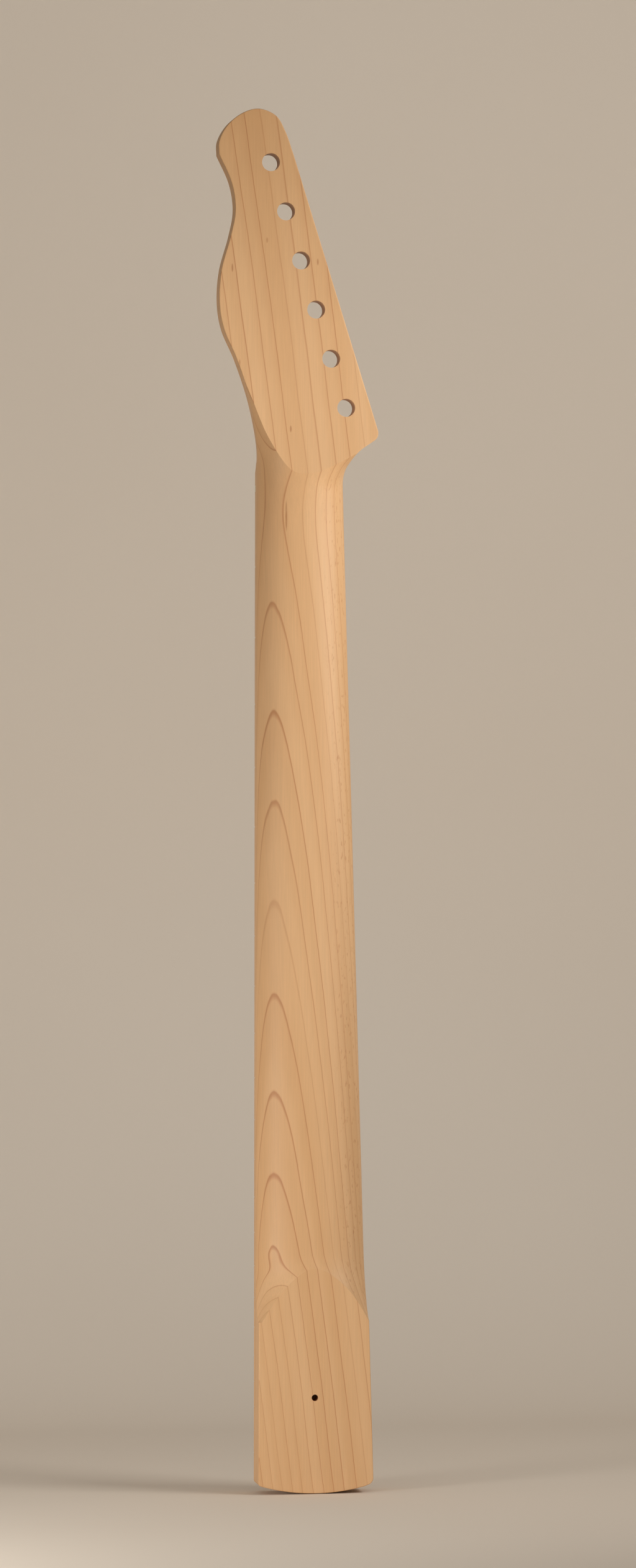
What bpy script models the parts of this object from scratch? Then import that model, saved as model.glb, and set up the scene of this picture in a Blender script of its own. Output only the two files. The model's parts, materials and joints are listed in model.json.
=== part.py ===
"""A bolt-on electric guitar neck of raw maple, in separate pieces.

Metres. +X is the bass side, +Y runs from the back of the neck to the fretboard and
+Z runs up the neck to the headstock. The origin is on the flat of the heel that seats
in the body's pocket.
"""

import math

import bmesh
import bpy
import numpy as np
from mathutils import Vector

# Scale and length
SCALE_LENGTH = 0.6477
FRET_COUNT = 22
LAST_FRET_TO_END = 0.0186
SEAT_TO_END = 0.0381

# Widths, seen from the back
NUT_WIDTH = 0.042
HEEL_WIDTH = 0.056
HEEL_BOW = 0.0042
HEEL_CORNER_TREBLE = 0.0016
HEEL_CORNER_BASS = 0.0036

# Thickness of the maple and of the fretboard on it
BLANK_DEPTH = 0.01905
BOARD_DEPTH = 0.00635
BOARD_RADIUS = 0.2413
GLUE_LINE = 0.00005
DEPTH_AT_FRET_1 = 0.0216
DEPTH_AT_FRET_12 = 0.0239
EDGE_EASE = 0.0004

# The carved back: squareness 2 is an ellipse, and more is squarer
BACK_SQUARENESS = 2.2
SIDE_WALL_MARGIN = 0.00015
HEEL_FLAT_LENGTH = 0.1084
HEEL_SCOOP_RADIUS = 0.035
HEEL_SIDE_MARGIN = 0.0020
HEEL_TREBLE_SQUARENESS = 1.8
HEEL_BASS_SQUARENESS = 2.1
HEEL_SQUARE_RUN = 0.012
RISE_BELOW_NUT = 0.0314
RISE_LENGTH = 0.0970
RISE_DEPTH = 0.0396
RISE_POWER = 2.6
TREBLE_FLARE_ABOVE_NUT = 0.009
TREBLE_FLARE_RUN = 0.022
TREBLE_FLARE_MARGIN = 0.0021
BASS_FLARE_ABOVE_NUT = 0.010
BASS_FLARE_RUN = 0.010
BASS_FLARE_MARGIN = 0.0026
BASS_SQUARENESS = 7.2
BASS_SQUARE_RUN = 0.020
SHOULDER_RUN = 0.030

# Headstock
HEADSTOCK_DEPTH = 0.0143
SHELF_BEHIND_NUT = 0.0055
FACE_SCOOP_RADIUS = 0.022
TUNER_COUNT = 6
TUNER_PITCH = 0.02478
TUNER_HOLE = 0.0087
TUNER_LINE_TILT = math.radians(16.4)
TUNER_TO_EDGE = 0.0116
FIRST_TUNER_ABOVE_NUT = 0.0395
FIRST_TUNER_FROM_CENTRE = 0.0214
SHOULDER_SLOPE = math.radians(33)
SHOULDER_BELOW_TUNER = 0.0182
SHOULDER_CORNER = 0.0045
NECK_CORNER = 0.020

# Points on the headstock's edge: tuner number, distance past it up the tuner line, and
# distance from that line towards the treble side
TREBLE_EDGE = (
    (1, 0.0033, 0.0446),
    (2, -0.0055, 0.0434),
    (3, -0.0112, 0.04395),
    (3, 0.0046, 0.0456),
    (4, -0.0076, 0.04385),
    (4, 0.0069, 0.0383),
    (5, -0.0032, 0.0290),
    (5, 0.0079, 0.0233),
    (6, -0.0041, 0.02125),
    (6, 0.0110, 0.0230),
)
TIP_EDGE = (
    (6, 0.0110, 0.0230),
    (6, 0.0171, 0.0210),
    (6, 0.0235, 0.0144),
    (6, 0.0268, 0.0055),
    (6, 0.0263, -0.0022),
    (6, 0.0207, 0.0026 - TUNER_TO_EDGE),
    (6, 0.0122, 0.0005 - TUNER_TO_EDGE),
    (6, -0.0002, -TUNER_TO_EDGE),
)
EDGE_STEPS = 6
TREBLE_EDGE_START = 0.0084
TIP_ABOVE_LAST_TUNER = 0.04

# Hole in the heel that locates the neck on its jig
LOCATING_HOLE = 0.0032
LOCATING_HOLE_DEPTH = 0.012
LOCATING_HOLE_ABOVE_SEAT = 0.0081

# Frets
FRET_WIDTH = 0.0024
FRET_HEIGHT = 0.0012
FRET_SIDE_HEIGHT = 0.00025
TANG_WIDTH = 0.0005
TANG_DEPTH = 0.0016
FRET_SEAT_GAP = 0.0001
FRET_SLOT_CLEARANCE = 0.00005
SLOT_BELOW_TANG = 0.0003
FRET_END_SLOPE = math.radians(35)
FRET_END_INSET = 0.0001
FRET_OVERHANG = 0.002
FRET_STEPS = 7

# Nut
NUT_THICKNESS = 0.0032
NUT_SLOT_DEPTH = 0.0032
NUT_ABOVE_BOARD = 0.0027
NUT_CLEARANCE = 0.00005
STRING_SPREAD = 0.0352
STRING_GROOVES = (0.00118, 0.00096, 0.00074, 0.0005, 0.0004, 0.00034)
STRING_GROOVE_DEPTH = 0.0009

# Position dots
DOT_FRETS = (3, 5, 7, 9, 12, 15, 17, 19, 21)
OCTAVE_FRET = 12
FACE_DOT = 0.00635
FACE_DOT_DEPTH = 0.0018
OCTAVE_DOT_SPREAD = 0.022
SIDE_DOT = 0.0021
SIDE_DOT_LENGTH = 0.003
SIDE_DOT_ABOVE_JOINT = 0.0024
OCTAVE_SIDE_SPREAD = 0.010
DOT_CLEARANCE = 0.00005

# Two-way truss rod in its channel
CHANNEL_WIDTH = 0.0064
CHANNEL_DEPTH = 0.0098
CHANNEL_CLEARANCE = 0.0002
ROD_DIAMETER = 0.0050
ROD_BORE_CLEARANCE = 0.0001
ROD_ABOVE_FLOOR = 0.0031
BLOCK_LENGTH = 0.010
BLOCK_TOP_BELOW_JOINT = 0.0005
BAR_DEPTH = 0.0030
BAR_JOINT = 0.0001
FRONT_BLOCK_BELOW_NUT = 0.0006
REAR_END_ABOVE_SEAT = 0.0185
ADJUSTER_DIAMETER = 0.0070
ADJUSTER_LENGTH = 0.014
ADJUSTER_GAP = 0.0006
ADJUSTER_SEAT_GAP = 0.0003
KEY_ACROSS_FLATS = 0.0040
KEY_SOCKET_DEPTH = 0.008
ACCESS_WIDTH = 0.0090
ACCESS_BELOW_ADJUSTER = 0.0005
ACCESS_LENGTH = 0.040

# Sides on round cutters and pieces, and how far a cutter reaches past what it cuts
HOLE_SIDES = 40
ROD_SIDES = 32
DOT_SIDES = 24
SIDE_DOT_SIDES = 16
RADIUS_SIDES = 240
SLOT_END_SIDES = 12
PAST = 0.012
WIDE = 0.075

# Colours: linear base colour, roughness and metallic value
FINISHES = {
    "raw_maple": ((0.62, 0.36, 0.17), 0.62, 0.0),
    "fretboard_maple": ((0.64, 0.39, 0.19), 0.58, 0.0),
    "nickel_silver": ((0.66, 0.65, 0.61), 0.28, 1.0),
    "bone": ((0.80, 0.74, 0.60), 0.40, 0.0),
    "black_plastic": ((0.012, 0.012, 0.012), 0.35, 0.0),
    "plain_steel": ((0.42, 0.42, 0.43), 0.36, 1.0),
    "brass": ((0.62, 0.42, 0.14), 0.34, 1.0),
}


# Places along the neck, worked out from the sizes
def fret_distance(number):
    """Distance of a fret from the nut."""
    return SCALE_LENGTH * (1.0 - 2.0 ** (-number / 12.0))


END_Z = -SEAT_TO_END
NUT_Z = END_Z + LAST_FRET_TO_END + fret_distance(FRET_COUNT)
SHELF_Z = NUT_Z + NUT_THICKNESS + SHELF_BEHIND_NUT
JOINT_Y = BLANK_DEPTH
BOARD_BACK_Y = JOINT_Y + GLUE_LINE
BOARD_TOP_Y = JOINT_Y + BOARD_DEPTH
RADIUS_AXIS_Y = BOARD_TOP_Y - BOARD_RADIUS
FACE_SCOOP_Y = HEADSTOCK_DEPTH + FACE_SCOOP_RADIUS
FACE_SCOOP_ANGLE = math.acos((FACE_SCOOP_Y - BOARD_TOP_Y) / FACE_SCOOP_RADIUS)
FACE_SCOOP_Z = SHELF_Z + FACE_SCOOP_RADIUS * math.sin(FACE_SCOOP_ANGLE)
CHANNEL_FLOOR_Y = JOINT_Y - CHANNEL_DEPTH
ROD_Y = CHANNEL_FLOOR_Y + ROD_ABOVE_FLOOR
RISE_START_Z = NUT_Z - RISE_BELOW_NUT


def fret_z(number):
    return NUT_Z - fret_distance(number)


def shaft_depth(z):
    """Depth of the maple along the straight shaft, constant above the first fret."""
    first, twelfth = fret_z(1), fret_z(12)
    share = max((z - first) / (twelfth - first), 0.0)
    return DEPTH_AT_FRET_1 + (DEPTH_AT_FRET_12 - DEPTH_AT_FRET_1) * share - BOARD_DEPTH


def heel_scoop_start():
    """Where the scoop leaves the shaft, so that it meets the heel's flat at its top."""
    flat_top = END_Z + HEEL_FLAT_LENGTH
    start = flat_top
    for _ in range(8):
        left = HEEL_SCOOP_RADIUS - (BLANK_DEPTH - shaft_depth(start))
        start = flat_top + math.sqrt(HEEL_SCOOP_RADIUS**2 - left**2)
    return start


HEEL_SCOOP_START_Z = heel_scoop_start()


def half_width(z):
    """Half the neck's width, on its straight taper from the heel's end to the nut."""
    share = (z - END_Z) / (NUT_Z - END_Z)
    return 0.5 * (HEEL_WIDTH + (NUT_WIDTH - HEEL_WIDTH) * share)


def board_surface(x):
    """Height of the radiused board at a distance from the centre line."""
    return RADIUS_AXIS_Y + math.sqrt(BOARD_RADIUS**2 - x * x)


def ease(value, start, run):
    """Smooth step from 0 to 1."""
    share = min(max((value - start) / run, 0.0), 1.0)
    return share * share * (3.0 - 2.0 * share)


# Scene, collections and finishes
for old in list(bpy.data.objects):
    bpy.data.objects.remove(old, do_unlink=True)

parts = bpy.data.collections.new("guitar_neck")
cutters = bpy.data.collections.new("cutters")
for collection in (parts, cutters):
    bpy.context.scene.collection.children.link(collection)
cutters.hide_render = True


def finish(name):
    """The named Principled BSDF material, made once."""
    material = bpy.data.materials.get(name)
    if material is None:
        colour, roughness, metallic = FINISHES[name]
        material = bpy.data.materials.new(name)
        material.use_nodes = True
        shader = material.node_tree.nodes["Principled BSDF"]
        shader.inputs["Base Color"].default_value = (*colour, 1.0)
        shader.inputs["Roughness"].default_value = roughness
        shader.inputs["Metallic"].default_value = metallic
        material.diffuse_color = (*colour, 1.0)
    return material


def new_object(name, mesh, collection):
    obj = bpy.data.objects.new(name, mesh)
    collection.objects.link(obj)
    if collection is cutters:
        obj.hide_render = True
        obj.display_type = "WIRE"
    return obj


def part(name, mesh, material, location=(0.0, 0.0, 0.0), parent=None):
    """One piece of the neck."""
    obj = new_object(name, mesh, parts)
    if not mesh.materials:
        mesh.materials.append(finish(material))
    obj.location = location
    if parent is not None:
        obj.parent = parent
        obj.location = Vector(location) - parent.location
    return obj


def cutter(name, mesh, location=(0.0, 0.0, 0.0)):
    obj = new_object(name, mesh, cutters)
    obj.location = location
    return obj


def boolean(obj, other, operation="DIFFERENCE", solver="EXACT"):
    modifier = obj.modifiers.new(f"{operation.lower()} {other.name}", "BOOLEAN")
    modifier.operation = operation
    modifier.object = other
    modifier.solver = solver


def mesh_from(bm, name):
    bmesh.ops.recalc_face_normals(bm, faces=bm.faces)
    if bm.calc_volume(signed=True) < 0.0:
        bmesh.ops.reverse_faces(bm, faces=bm.faces)
    mesh = bpy.data.meshes.new(name)
    bm.to_mesh(mesh)
    bm.free()
    return mesh


def rounded(mesh, angle=math.radians(35)):
    mesh.shade_smooth()
    mesh.set_sharp_from_angle(angle=angle)
    return mesh


# Mesh helpers
def box(name, low, high):
    """A box between two corners, in world axes."""
    low, high = Vector(low), Vector(high)
    bm = bmesh.new()
    bmesh.ops.create_cube(bm, size=1.0)
    bmesh.ops.scale(bm, vec=high - low, verts=bm.verts)
    bmesh.ops.translate(bm, vec=(low + high) / 2, verts=bm.verts)
    return mesh_from(bm, name)


def turn_to(bm, verts, axis):
    """Turns what was made along Z to lie along the named axis."""
    if axis == "Y":
        bmesh.ops.rotate(bm, matrix=Y_FROM_Z, verts=verts)
    elif axis == "X":
        bmesh.ops.rotate(bm, matrix=X_FROM_Z, verts=verts)


Y_FROM_Z = Vector((0, 0, 1)).rotation_difference(Vector((0, 1, 0))).to_matrix()
X_FROM_Z = Vector((0, 0, 1)).rotation_difference(Vector((1, 0, 0))).to_matrix()


def rods(name, ends, diameter, sides, axis):
    """Round bars along one axis: each of ends gives the middle point and the length."""
    bm = bmesh.new()
    for middle, length in ends:
        made = bmesh.ops.create_cone(
            bm,
            cap_ends=True,
            segments=sides,
            radius1=diameter / 2,
            radius2=diameter / 2,
            depth=length,
        )
        turn_to(bm, made["verts"], axis)
        bmesh.ops.translate(bm, vec=middle, verts=made["verts"])
    return mesh_from(bm, name)


def solid_outline(name, outline, thickness, bevel=0.0):
    """A flat outline given thickness, as a mesh in the outline's own plane."""
    curve = bpy.data.curves.new(name, "CURVE")
    curve.dimensions = "2D"
    curve.fill_mode = "BOTH"
    spline = curve.splines.new("POLY")
    spline.points.add(len(outline) - 1)
    for point, (x, y) in zip(spline.points, outline):
        point.co = (x, y, 0.0, 1.0)
    spline.use_cyclic_u = True
    curve.bevel_depth = bevel
    curve.bevel_resolution = 0
    curve.offset = -bevel
    curve.extrude = thickness / 2 - bevel
    holder = bpy.data.objects.new(name, curve)
    bpy.context.scene.collection.objects.link(holder)
    bpy.context.view_layer.update()
    graph = bpy.context.evaluated_depsgraph_get()
    mesh = bpy.data.meshes.new_from_object(holder.evaluated_get(graph))
    bpy.data.objects.remove(holder, do_unlink=True)
    bm = bmesh.new()
    bm.from_mesh(mesh)
    bmesh.ops.remove_doubles(bm, verts=bm.verts, dist=1e-7)
    bpy.data.meshes.remove(mesh)
    return bm


def plan_prism(name, outline, back, front, bevel=0.0):
    """An outline of x and z, given depth from y = back to y = front."""
    bm = solid_outline(name, outline, front - back, bevel)
    for vert in bm.verts:
        x, z, y = vert.co
        vert.co = (x, (back + front) / 2 + y, z)
    return mesh_from(bm, name)


def side_prism(name, outline, half):
    """An outline of z and y, given width from x = -half to x = half."""
    bm = solid_outline(name, outline, 2 * half)
    for vert in bm.verts:
        z, y, x = vert.co
        vert.co = (x, y, z)
    return mesh_from(bm, name)


def loft(name, sections):
    """Closed sections of equal point counts, joined in order and capped."""
    bm = bmesh.new()
    rings = [[bm.verts.new(point) for point in section] for section in sections]
    for first, second in zip(rings[:-1], rings[1:]):
        for i in range(len(first)):
            j = (i + 1) % len(first)
            bm.faces.new((first[i], first[j], second[j], second[i]))
    bm.faces.new(rings[0])
    bm.faces.new(rings[-1])
    return mesh_from(bm, name)


# Outlines in plan, as x and z
def smooth_through(points, steps):
    """A centripetal spline through the points, leaving out the last one."""
    points = [Vector(point) for point in points]
    points = [2 * points[0] - points[1], *points, 2 * points[-1] - points[-2]]
    found = []
    for a, b, c, d in zip(points, points[1:], points[2:], points[3:]):
        knots = [0.0]
        for near, far in ((a, b), (b, c), (c, d)):
            knots.append(knots[-1] + math.sqrt((far - near).length))
        for step in range(steps):
            t = knots[1] + (knots[2] - knots[1]) * step / steps
            level = [a, b, c, d]
            for width in (1, 2, 3):
                level = [
                    blend(level[i], level[i + 1], knots, i, width, t)
                    for i in range(len(level) - 1)
                ]
            found.append(tuple(level[0]))
    return found


def blend(low, high, knots, index, width, t):
    """One step of the spline's pyramid of blends."""
    start, end = knots[index], knots[index + 1]
    if width == 2:
        start, end = knots[index], knots[index + 2]
    if width == 3:
        start, end = knots[1], knots[2]
    return low.lerp(high, (t - start) / (end - start))


def fillet(before, corner, after, radius, steps):
    """Points on the arc that rounds a corner between two straight runs."""
    before, corner, after = Vector(before), Vector(corner), Vector(after)
    back = (before - corner).normalized()
    on = (after - corner).normalized()
    half = back.angle(on) / 2
    centre = corner + (back + on).normalized() * radius / math.sin(half)
    start = corner + back * radius / math.tan(half) - centre
    end = corner + on * radius / math.tan(half) - centre
    turn = start.angle_signed(end)
    points = []
    for step in range(steps + 1):
        angle = -turn * step / steps
        cos, sin = math.cos(angle), math.sin(angle)
        arm = Vector((start.x * cos - start.y * sin, start.x * sin + start.y * cos))
        points.append(tuple(centre + arm))
    return points


ALONG = Vector((-math.sin(TUNER_LINE_TILT), math.cos(TUNER_LINE_TILT)))
ACROSS = Vector((-math.cos(TUNER_LINE_TILT), -math.sin(TUNER_LINE_TILT)))
FIRST_TUNER = Vector((FIRST_TUNER_FROM_CENTRE, NUT_Z + FIRST_TUNER_ABOVE_NUT))


def by_tuner(number, along, across):
    """A point given from a tuner, up the tuner line and towards the treble side."""
    place = (number - 1) * TUNER_PITCH + along
    return FIRST_TUNER + ALONG * place + ACROSS * across


def shoulder_corners():
    """The headstock's bass corner, and where its lower edge meets the neck's side."""
    slope = Vector((math.cos(SHOULDER_SLOPE), math.sin(SHOULDER_SLOPE)))
    edge = by_tuner(1, -SHOULDER_BELOW_TUNER, -TUNER_TO_EDGE)
    reach = (edge.x - half_width(edge.y)) / slope.x
    low = edge - slope * reach
    low.x = half_width(low.y)
    return edge, low


def treble_edge():
    """The treble side from the board's end up to the point of the tip."""
    heights = (NUT_Z, SHELF_Z, SHELF_Z + TREBLE_EDGE_START)
    shaft = [(-half_width(z), z) for z in heights]
    return shaft + [tuple(by_tuner(*point)) for point in TREBLE_EDGE]


def bass_edge(steps):
    """The bass side from the neck up round the shoulder to the straight edge."""
    corner, low = shoulder_corners()
    below = Vector((half_width(NUT_Z), NUT_Z))
    above = by_tuner(TUNER_COUNT, 0.0, -TUNER_TO_EDGE)
    run = fillet(below, low, corner, NECK_CORNER, steps)
    return run + fillet(low, corner, above, SHOULDER_CORNER, steps)


def heel_end(steps):
    """The heel's bowed end, from the treble side to the bass side."""
    corner_z = END_Z + HEEL_BOW
    half = half_width(corner_z)
    radius = (half * half + HEEL_BOW * HEEL_BOW) / (2 * HEEL_BOW)
    centre_z = END_Z + radius
    points = []
    for sign, corner in ((-1, HEEL_CORNER_TREBLE), (1, HEEL_CORNER_BASS)):
        up = (sign * half_width(corner_z + PAST), corner_z + PAST)
        x = sign * (half - 4 * corner)
        along = (x, centre_z - math.sqrt(radius**2 - x * x))
        arc = fillet(up, (sign * half, corner_z), along, corner, 4)
        points.append(arc if sign < 0 else arc[::-1])
    left, right = points[0][-1][0], points[1][0][0]
    bow = []
    for step in range(1, steps):
        x = left + (right - left) * step / steps
        bow.append((x, centre_z - math.sqrt(radius**2 - x * x)))
    return points[0] + bow + points[1]


def neck_outline():
    """The whole neck in plan, from the heel up the bass side and back down."""
    tip = smooth_through([by_tuner(*point) for point in TIP_EDGE], EDGE_STEPS)
    treble = smooth_through(treble_edge(), EDGE_STEPS)
    straight = [tuple(by_tuner(TUNER_COUNT, -0.0002, -TUNER_TO_EDGE))]
    up = bass_edge(6) + straight + tip[::-1]
    return heel_end(12) + up + treble[::-1]


def board_outline(top):
    """The fretboard in plan, its sides flush with the neck's."""
    return heel_end(12) + [(half_width(top), top), (-half_width(top), top)]


# Carved back of the neck
def side_reach(z, sign):
    """How far the outline reaches at a height, from the centre line to one side."""
    if z <= NUT_Z:
        return half_width(z)
    if sign < 0:
        edge = [(point[1], -point[0]) for point in smooth_through(treble_edge(), 4)]
    else:
        edge = [(NUT_Z, half_width(NUT_Z))]
        edge += [(point[1], point[0]) for point in bass_edge(8)]
        beyond = by_tuner(TUNER_COUNT, 0.0, -TUNER_TO_EDGE)
        edge.append((beyond.y, beyond.x))
    edge.sort()
    return float(np.interp(z, [at[0] for at in edge], [at[1] for at in edge]))


def carve_margin(z, sign):
    """How far the carved curve's width passes the outline."""
    low = max(0.0, HEEL_SCOOP_START_Z - z) / HEEL_SCOOP_RADIUS
    flare = TREBLE_FLARE_MARGIN * ease(
        z, NUT_Z + TREBLE_FLARE_ABOVE_NUT, TREBLE_FLARE_RUN
    )
    if sign > 0:
        flare = BASS_FLARE_MARGIN * ease(z, NUT_Z + BASS_FLARE_ABOVE_NUT, BASS_FLARE_RUN)
    return SIDE_WALL_MARGIN + HEEL_SIDE_MARGIN * low * low + flare


def carve_depth(z):
    """Depth of the carved curve at the centre line, from the fretboard joint."""
    depth = shaft_depth(max(z, HEEL_SCOOP_START_Z))
    if z < HEEL_SCOOP_START_Z:
        drop = min(HEEL_SCOOP_START_Z - z, HEEL_SCOOP_RADIUS)
        depth += HEEL_SCOOP_RADIUS - math.sqrt(HEEL_SCOOP_RADIUS**2 - drop * drop)
    if z > RISE_START_Z:
        depth += RISE_DEPTH * ((z - RISE_START_Z) / RISE_LENGTH) ** RISE_POWER
    return depth


def squareness(z, sign):
    """How square the carved curve is: rounder in the heel, square at the shoulder."""
    heel = HEEL_TREBLE_SQUARENESS if sign < 0 else HEEL_BASS_SQUARENESS
    low = ease(HEEL_SCOOP_START_Z - z, 0.0, HEEL_SQUARE_RUN)
    shaft = BACK_SQUARENESS + (heel - BACK_SQUARENESS) * low
    if sign < 0:
        return shaft
    share = min(max((z - NUT_Z) / BASS_SQUARE_RUN, 0.0), 1.0)
    return shaft + (BASS_SQUARENESS - BACK_SQUARENESS) * share * share


def carve_section(z, steps=32):
    """One closed section of what the carving takes away."""
    points = [(-WIDE, JOINT_Y, z)]
    for step in range(steps + 1):
        angle = math.pi * (step / steps - 0.5)
        sign = -1 if angle < 0 else 1
        power = 2.0 / squareness(z, sign)
        width = side_reach(z, sign) + carve_margin(z, sign)
        x = sign * width * abs(math.sin(angle)) ** power
        drop = carve_depth(z) * max(math.cos(angle), 0.0) ** power
        points.append((x, JOINT_Y - drop, z))
    points.append((WIDE, JOINT_Y, z))
    points.append((WIDE, -WIDE, z))
    points.append((-WIDE, -WIDE, z))
    return points


def carve_stations():
    """Heights of the sections: close where the surface bends."""
    top = RISE_START_Z + RISE_LENGTH
    heel = [
        HEEL_SCOOP_START_Z - HEEL_SCOOP_RADIUS * math.sin(math.radians(angle))
        for angle in range(78, -1, -6)
    ]
    shaft = list(np.linspace(HEEL_SCOOP_START_Z, RISE_START_Z, 7)[1:])
    rise = list(np.linspace(RISE_START_Z, NUT_Z, 9)[1:])
    shoulder = list(np.linspace(NUT_Z, NUT_Z + SHOULDER_RUN, 19)[1:])
    flare = list(np.linspace(NUT_Z + SHOULDER_RUN, top, 13)[1:])
    return heel + shaft + rise + shoulder + flare


# Scooped front of the headstock, shared by the maple and the fretboard
def face_scoop(start_y, steps=14):
    """Points of z and y down the scoop to the headstock's face."""
    start = math.acos((FACE_SCOOP_Y - start_y) / FACE_SCOOP_RADIUS)
    points = []
    for step in range(steps + 1):
        angle = start * (1.0 - step / steps)
        z = FACE_SCOOP_Z - FACE_SCOOP_RADIUS * math.sin(angle)
        points.append((z, FACE_SCOOP_Y - FACE_SCOOP_RADIUS * math.cos(angle)))
    return points


TOP_Z = by_tuner(TUNER_COUNT, TIP_ABOVE_LAST_TUNER, 0.0).y + PAST
FRONT_Y = BOARD_TOP_Y + 2 * PAST
BLANK_FRONT_Y = BOARD_TOP_Y + PAST


def front_cut():
    """Clears the maple's front: the fretboard joint, the scoop and the face."""
    outline = [(END_Z - PAST, JOINT_Y)] + face_scoop(JOINT_Y)
    outline += [(TOP_Z, HEADSTOCK_DEPTH), (TOP_Z, FRONT_Y), (END_Z - PAST, FRONT_Y)]
    return cutter("front_cut", side_prism("front_cut", outline, WIDE))


def board_end_cut():
    """Scoops the fretboard's end to the same curve."""
    outline = [(SHELF_Z, FRONT_Y)] + face_scoop(BOARD_TOP_Y)
    outline += [(TOP_Z, HEADSTOCK_DEPTH), (TOP_Z, FRONT_Y)]
    return cutter("board_end_cut", side_prism("board_end_cut", outline, WIDE))


# Maple neck
def make_neck():
    """The blank is drilled and slotted, then cut down in front, then carved behind."""
    blank = plan_prism("neck", neck_outline(), 0.0, BLANK_FRONT_Y, EDGE_EASE)
    neck = part("neck", blank, "raw_maple")

    drills = []
    for number in range(1, TUNER_COUNT + 1):
        x, z = by_tuner(number, 0.0, 0.0)
        drills.append(((x, BLANK_FRONT_Y / 2, z), BLANK_FRONT_Y + PAST))
    mesh = rods("tuner_drills", drills, TUNER_HOLE, HOLE_SIDES, "Y")
    boolean(neck, cutter("tuner_drills", mesh))

    place = ((0.0, LOCATING_HOLE_DEPTH - PAST, LOCATING_HOLE_ABOVE_SEAT), 2 * PAST)
    mesh = rods("locating_drill", [place], LOCATING_HOLE, DOT_SIDES, "Y")
    boolean(neck, cutter("locating_drill", mesh))

    low = (-CHANNEL_WIDTH / 2, CHANNEL_FLOOR_Y, REAR_END_ABOVE_SEAT - CHANNEL_CLEARANCE)
    high = (CHANNEL_WIDTH / 2, FRONT_Y, SHELF_Z)
    boolean(neck, cutter("rod_channel", box("rod_channel", low, high)))
    boolean(neck, cutter("access_slot", access_slot()))

    boolean(neck, front_cut())
    carve = loft("back_carve", [carve_section(z) for z in carve_stations()])
    boolean(neck, cutter("back_carve", carve), solver="MANIFOLD")
    rounded(blank)
    return neck


def access_slot():
    """Slot behind the nut, round at its far end, that lets the key in to the rod."""
    radius = ACCESS_WIDTH / 2
    end_z = NUT_Z + ACCESS_LENGTH - radius
    outline = [(radius, NUT_Z), (radius, end_z)]
    for step in range(1, SLOT_END_SIDES):
        angle = math.pi * step / SLOT_END_SIDES
        outline.append((radius * math.cos(angle), end_z + radius * math.sin(angle)))
    outline += [(-radius, end_z), (-radius, NUT_Z)]
    floor = ROD_Y - ADJUSTER_DIAMETER / 2 - ACCESS_BELOW_ADJUSTER
    return plan_prism("access_slot", outline, floor, FRONT_Y)


# Fretboard
def radius_cylinder():
    """The round surface that the board's top is cut to."""
    length = NUT_Z - END_Z + 6 * PAST
    middle = (0.0, RADIUS_AXIS_Y, (NUT_Z + END_Z) / 2)
    diameter = 2 * BOARD_RADIUS
    mesh = rods("board_radius", [(middle, length)], diameter, RADIUS_SIDES, "Z")
    return cutter("board_radius", mesh)


def board_envelope(round_top):
    """The whole board before it is slotted, which trims the dots flush."""
    outline = board_outline(SHELF_Z + PAST)
    mesh = plan_prism("board_envelope", outline, BOARD_BACK_Y, FRONT_Y)
    envelope = cutter("board_envelope", mesh)
    boolean(envelope, round_top, "INTERSECT")
    return envelope


def slot_floor_y():
    return board_surface(HEEL_WIDTH / 2) - TANG_DEPTH - SLOT_BELOW_TANG


def make_fretboard(round_top):
    outline = board_outline(SHELF_Z + PAST)
    mesh = plan_prism("fretboard", outline, BOARD_BACK_Y, FRONT_Y)
    board = part("fretboard", mesh, "fretboard_maple")
    boolean(board, round_top, "INTERSECT")
    boolean(board, board_end_cut())

    bm = bmesh.new()
    width = TANG_WIDTH + 2 * FRET_SLOT_CLEARANCE
    for number in range(1, FRET_COUNT + 1):
        made = bmesh.ops.create_cube(bm, size=1.0)
        size = (2 * WIDE, FRONT_Y - slot_floor_y(), width)
        bmesh.ops.scale(bm, vec=size, verts=made["verts"])
        place = (0.0, (FRONT_Y + slot_floor_y()) / 2, fret_z(number))
        bmesh.ops.translate(bm, vec=place, verts=made["verts"])
    boolean(board, cutter("fret_saw", mesh_from(bm, "fret_saw")))

    low = (-WIDE, BOARD_TOP_Y - NUT_SLOT_DEPTH, NUT_Z)
    high = (WIDE, FRONT_Y, NUT_Z + NUT_THICKNESS)
    boolean(board, cutter("nut_slot", box("nut_slot", low, high)))

    drills = [
        ((x, BOARD_TOP_Y - FACE_DOT_DEPTH + PAST / 2, z), PAST)
        for _, x, z in face_dot_places()
    ]
    mesh = rods("face_dot_drills", drills, FACE_DOT, DOT_SIDES, "Y")
    boolean(board, cutter("face_dot_drills", mesh))
    drills = [
        ((half_width(z) - SIDE_DOT_LENGTH + PAST / 2, side_dot_y(), z), PAST)
        for _, z in side_dot_places()
    ]
    mesh = rods("side_dot_drills", drills, SIDE_DOT, SIDE_DOT_SIDES, "X")
    boolean(board, cutter("side_dot_drills", mesh))
    rounded(board.data)
    return board


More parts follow.
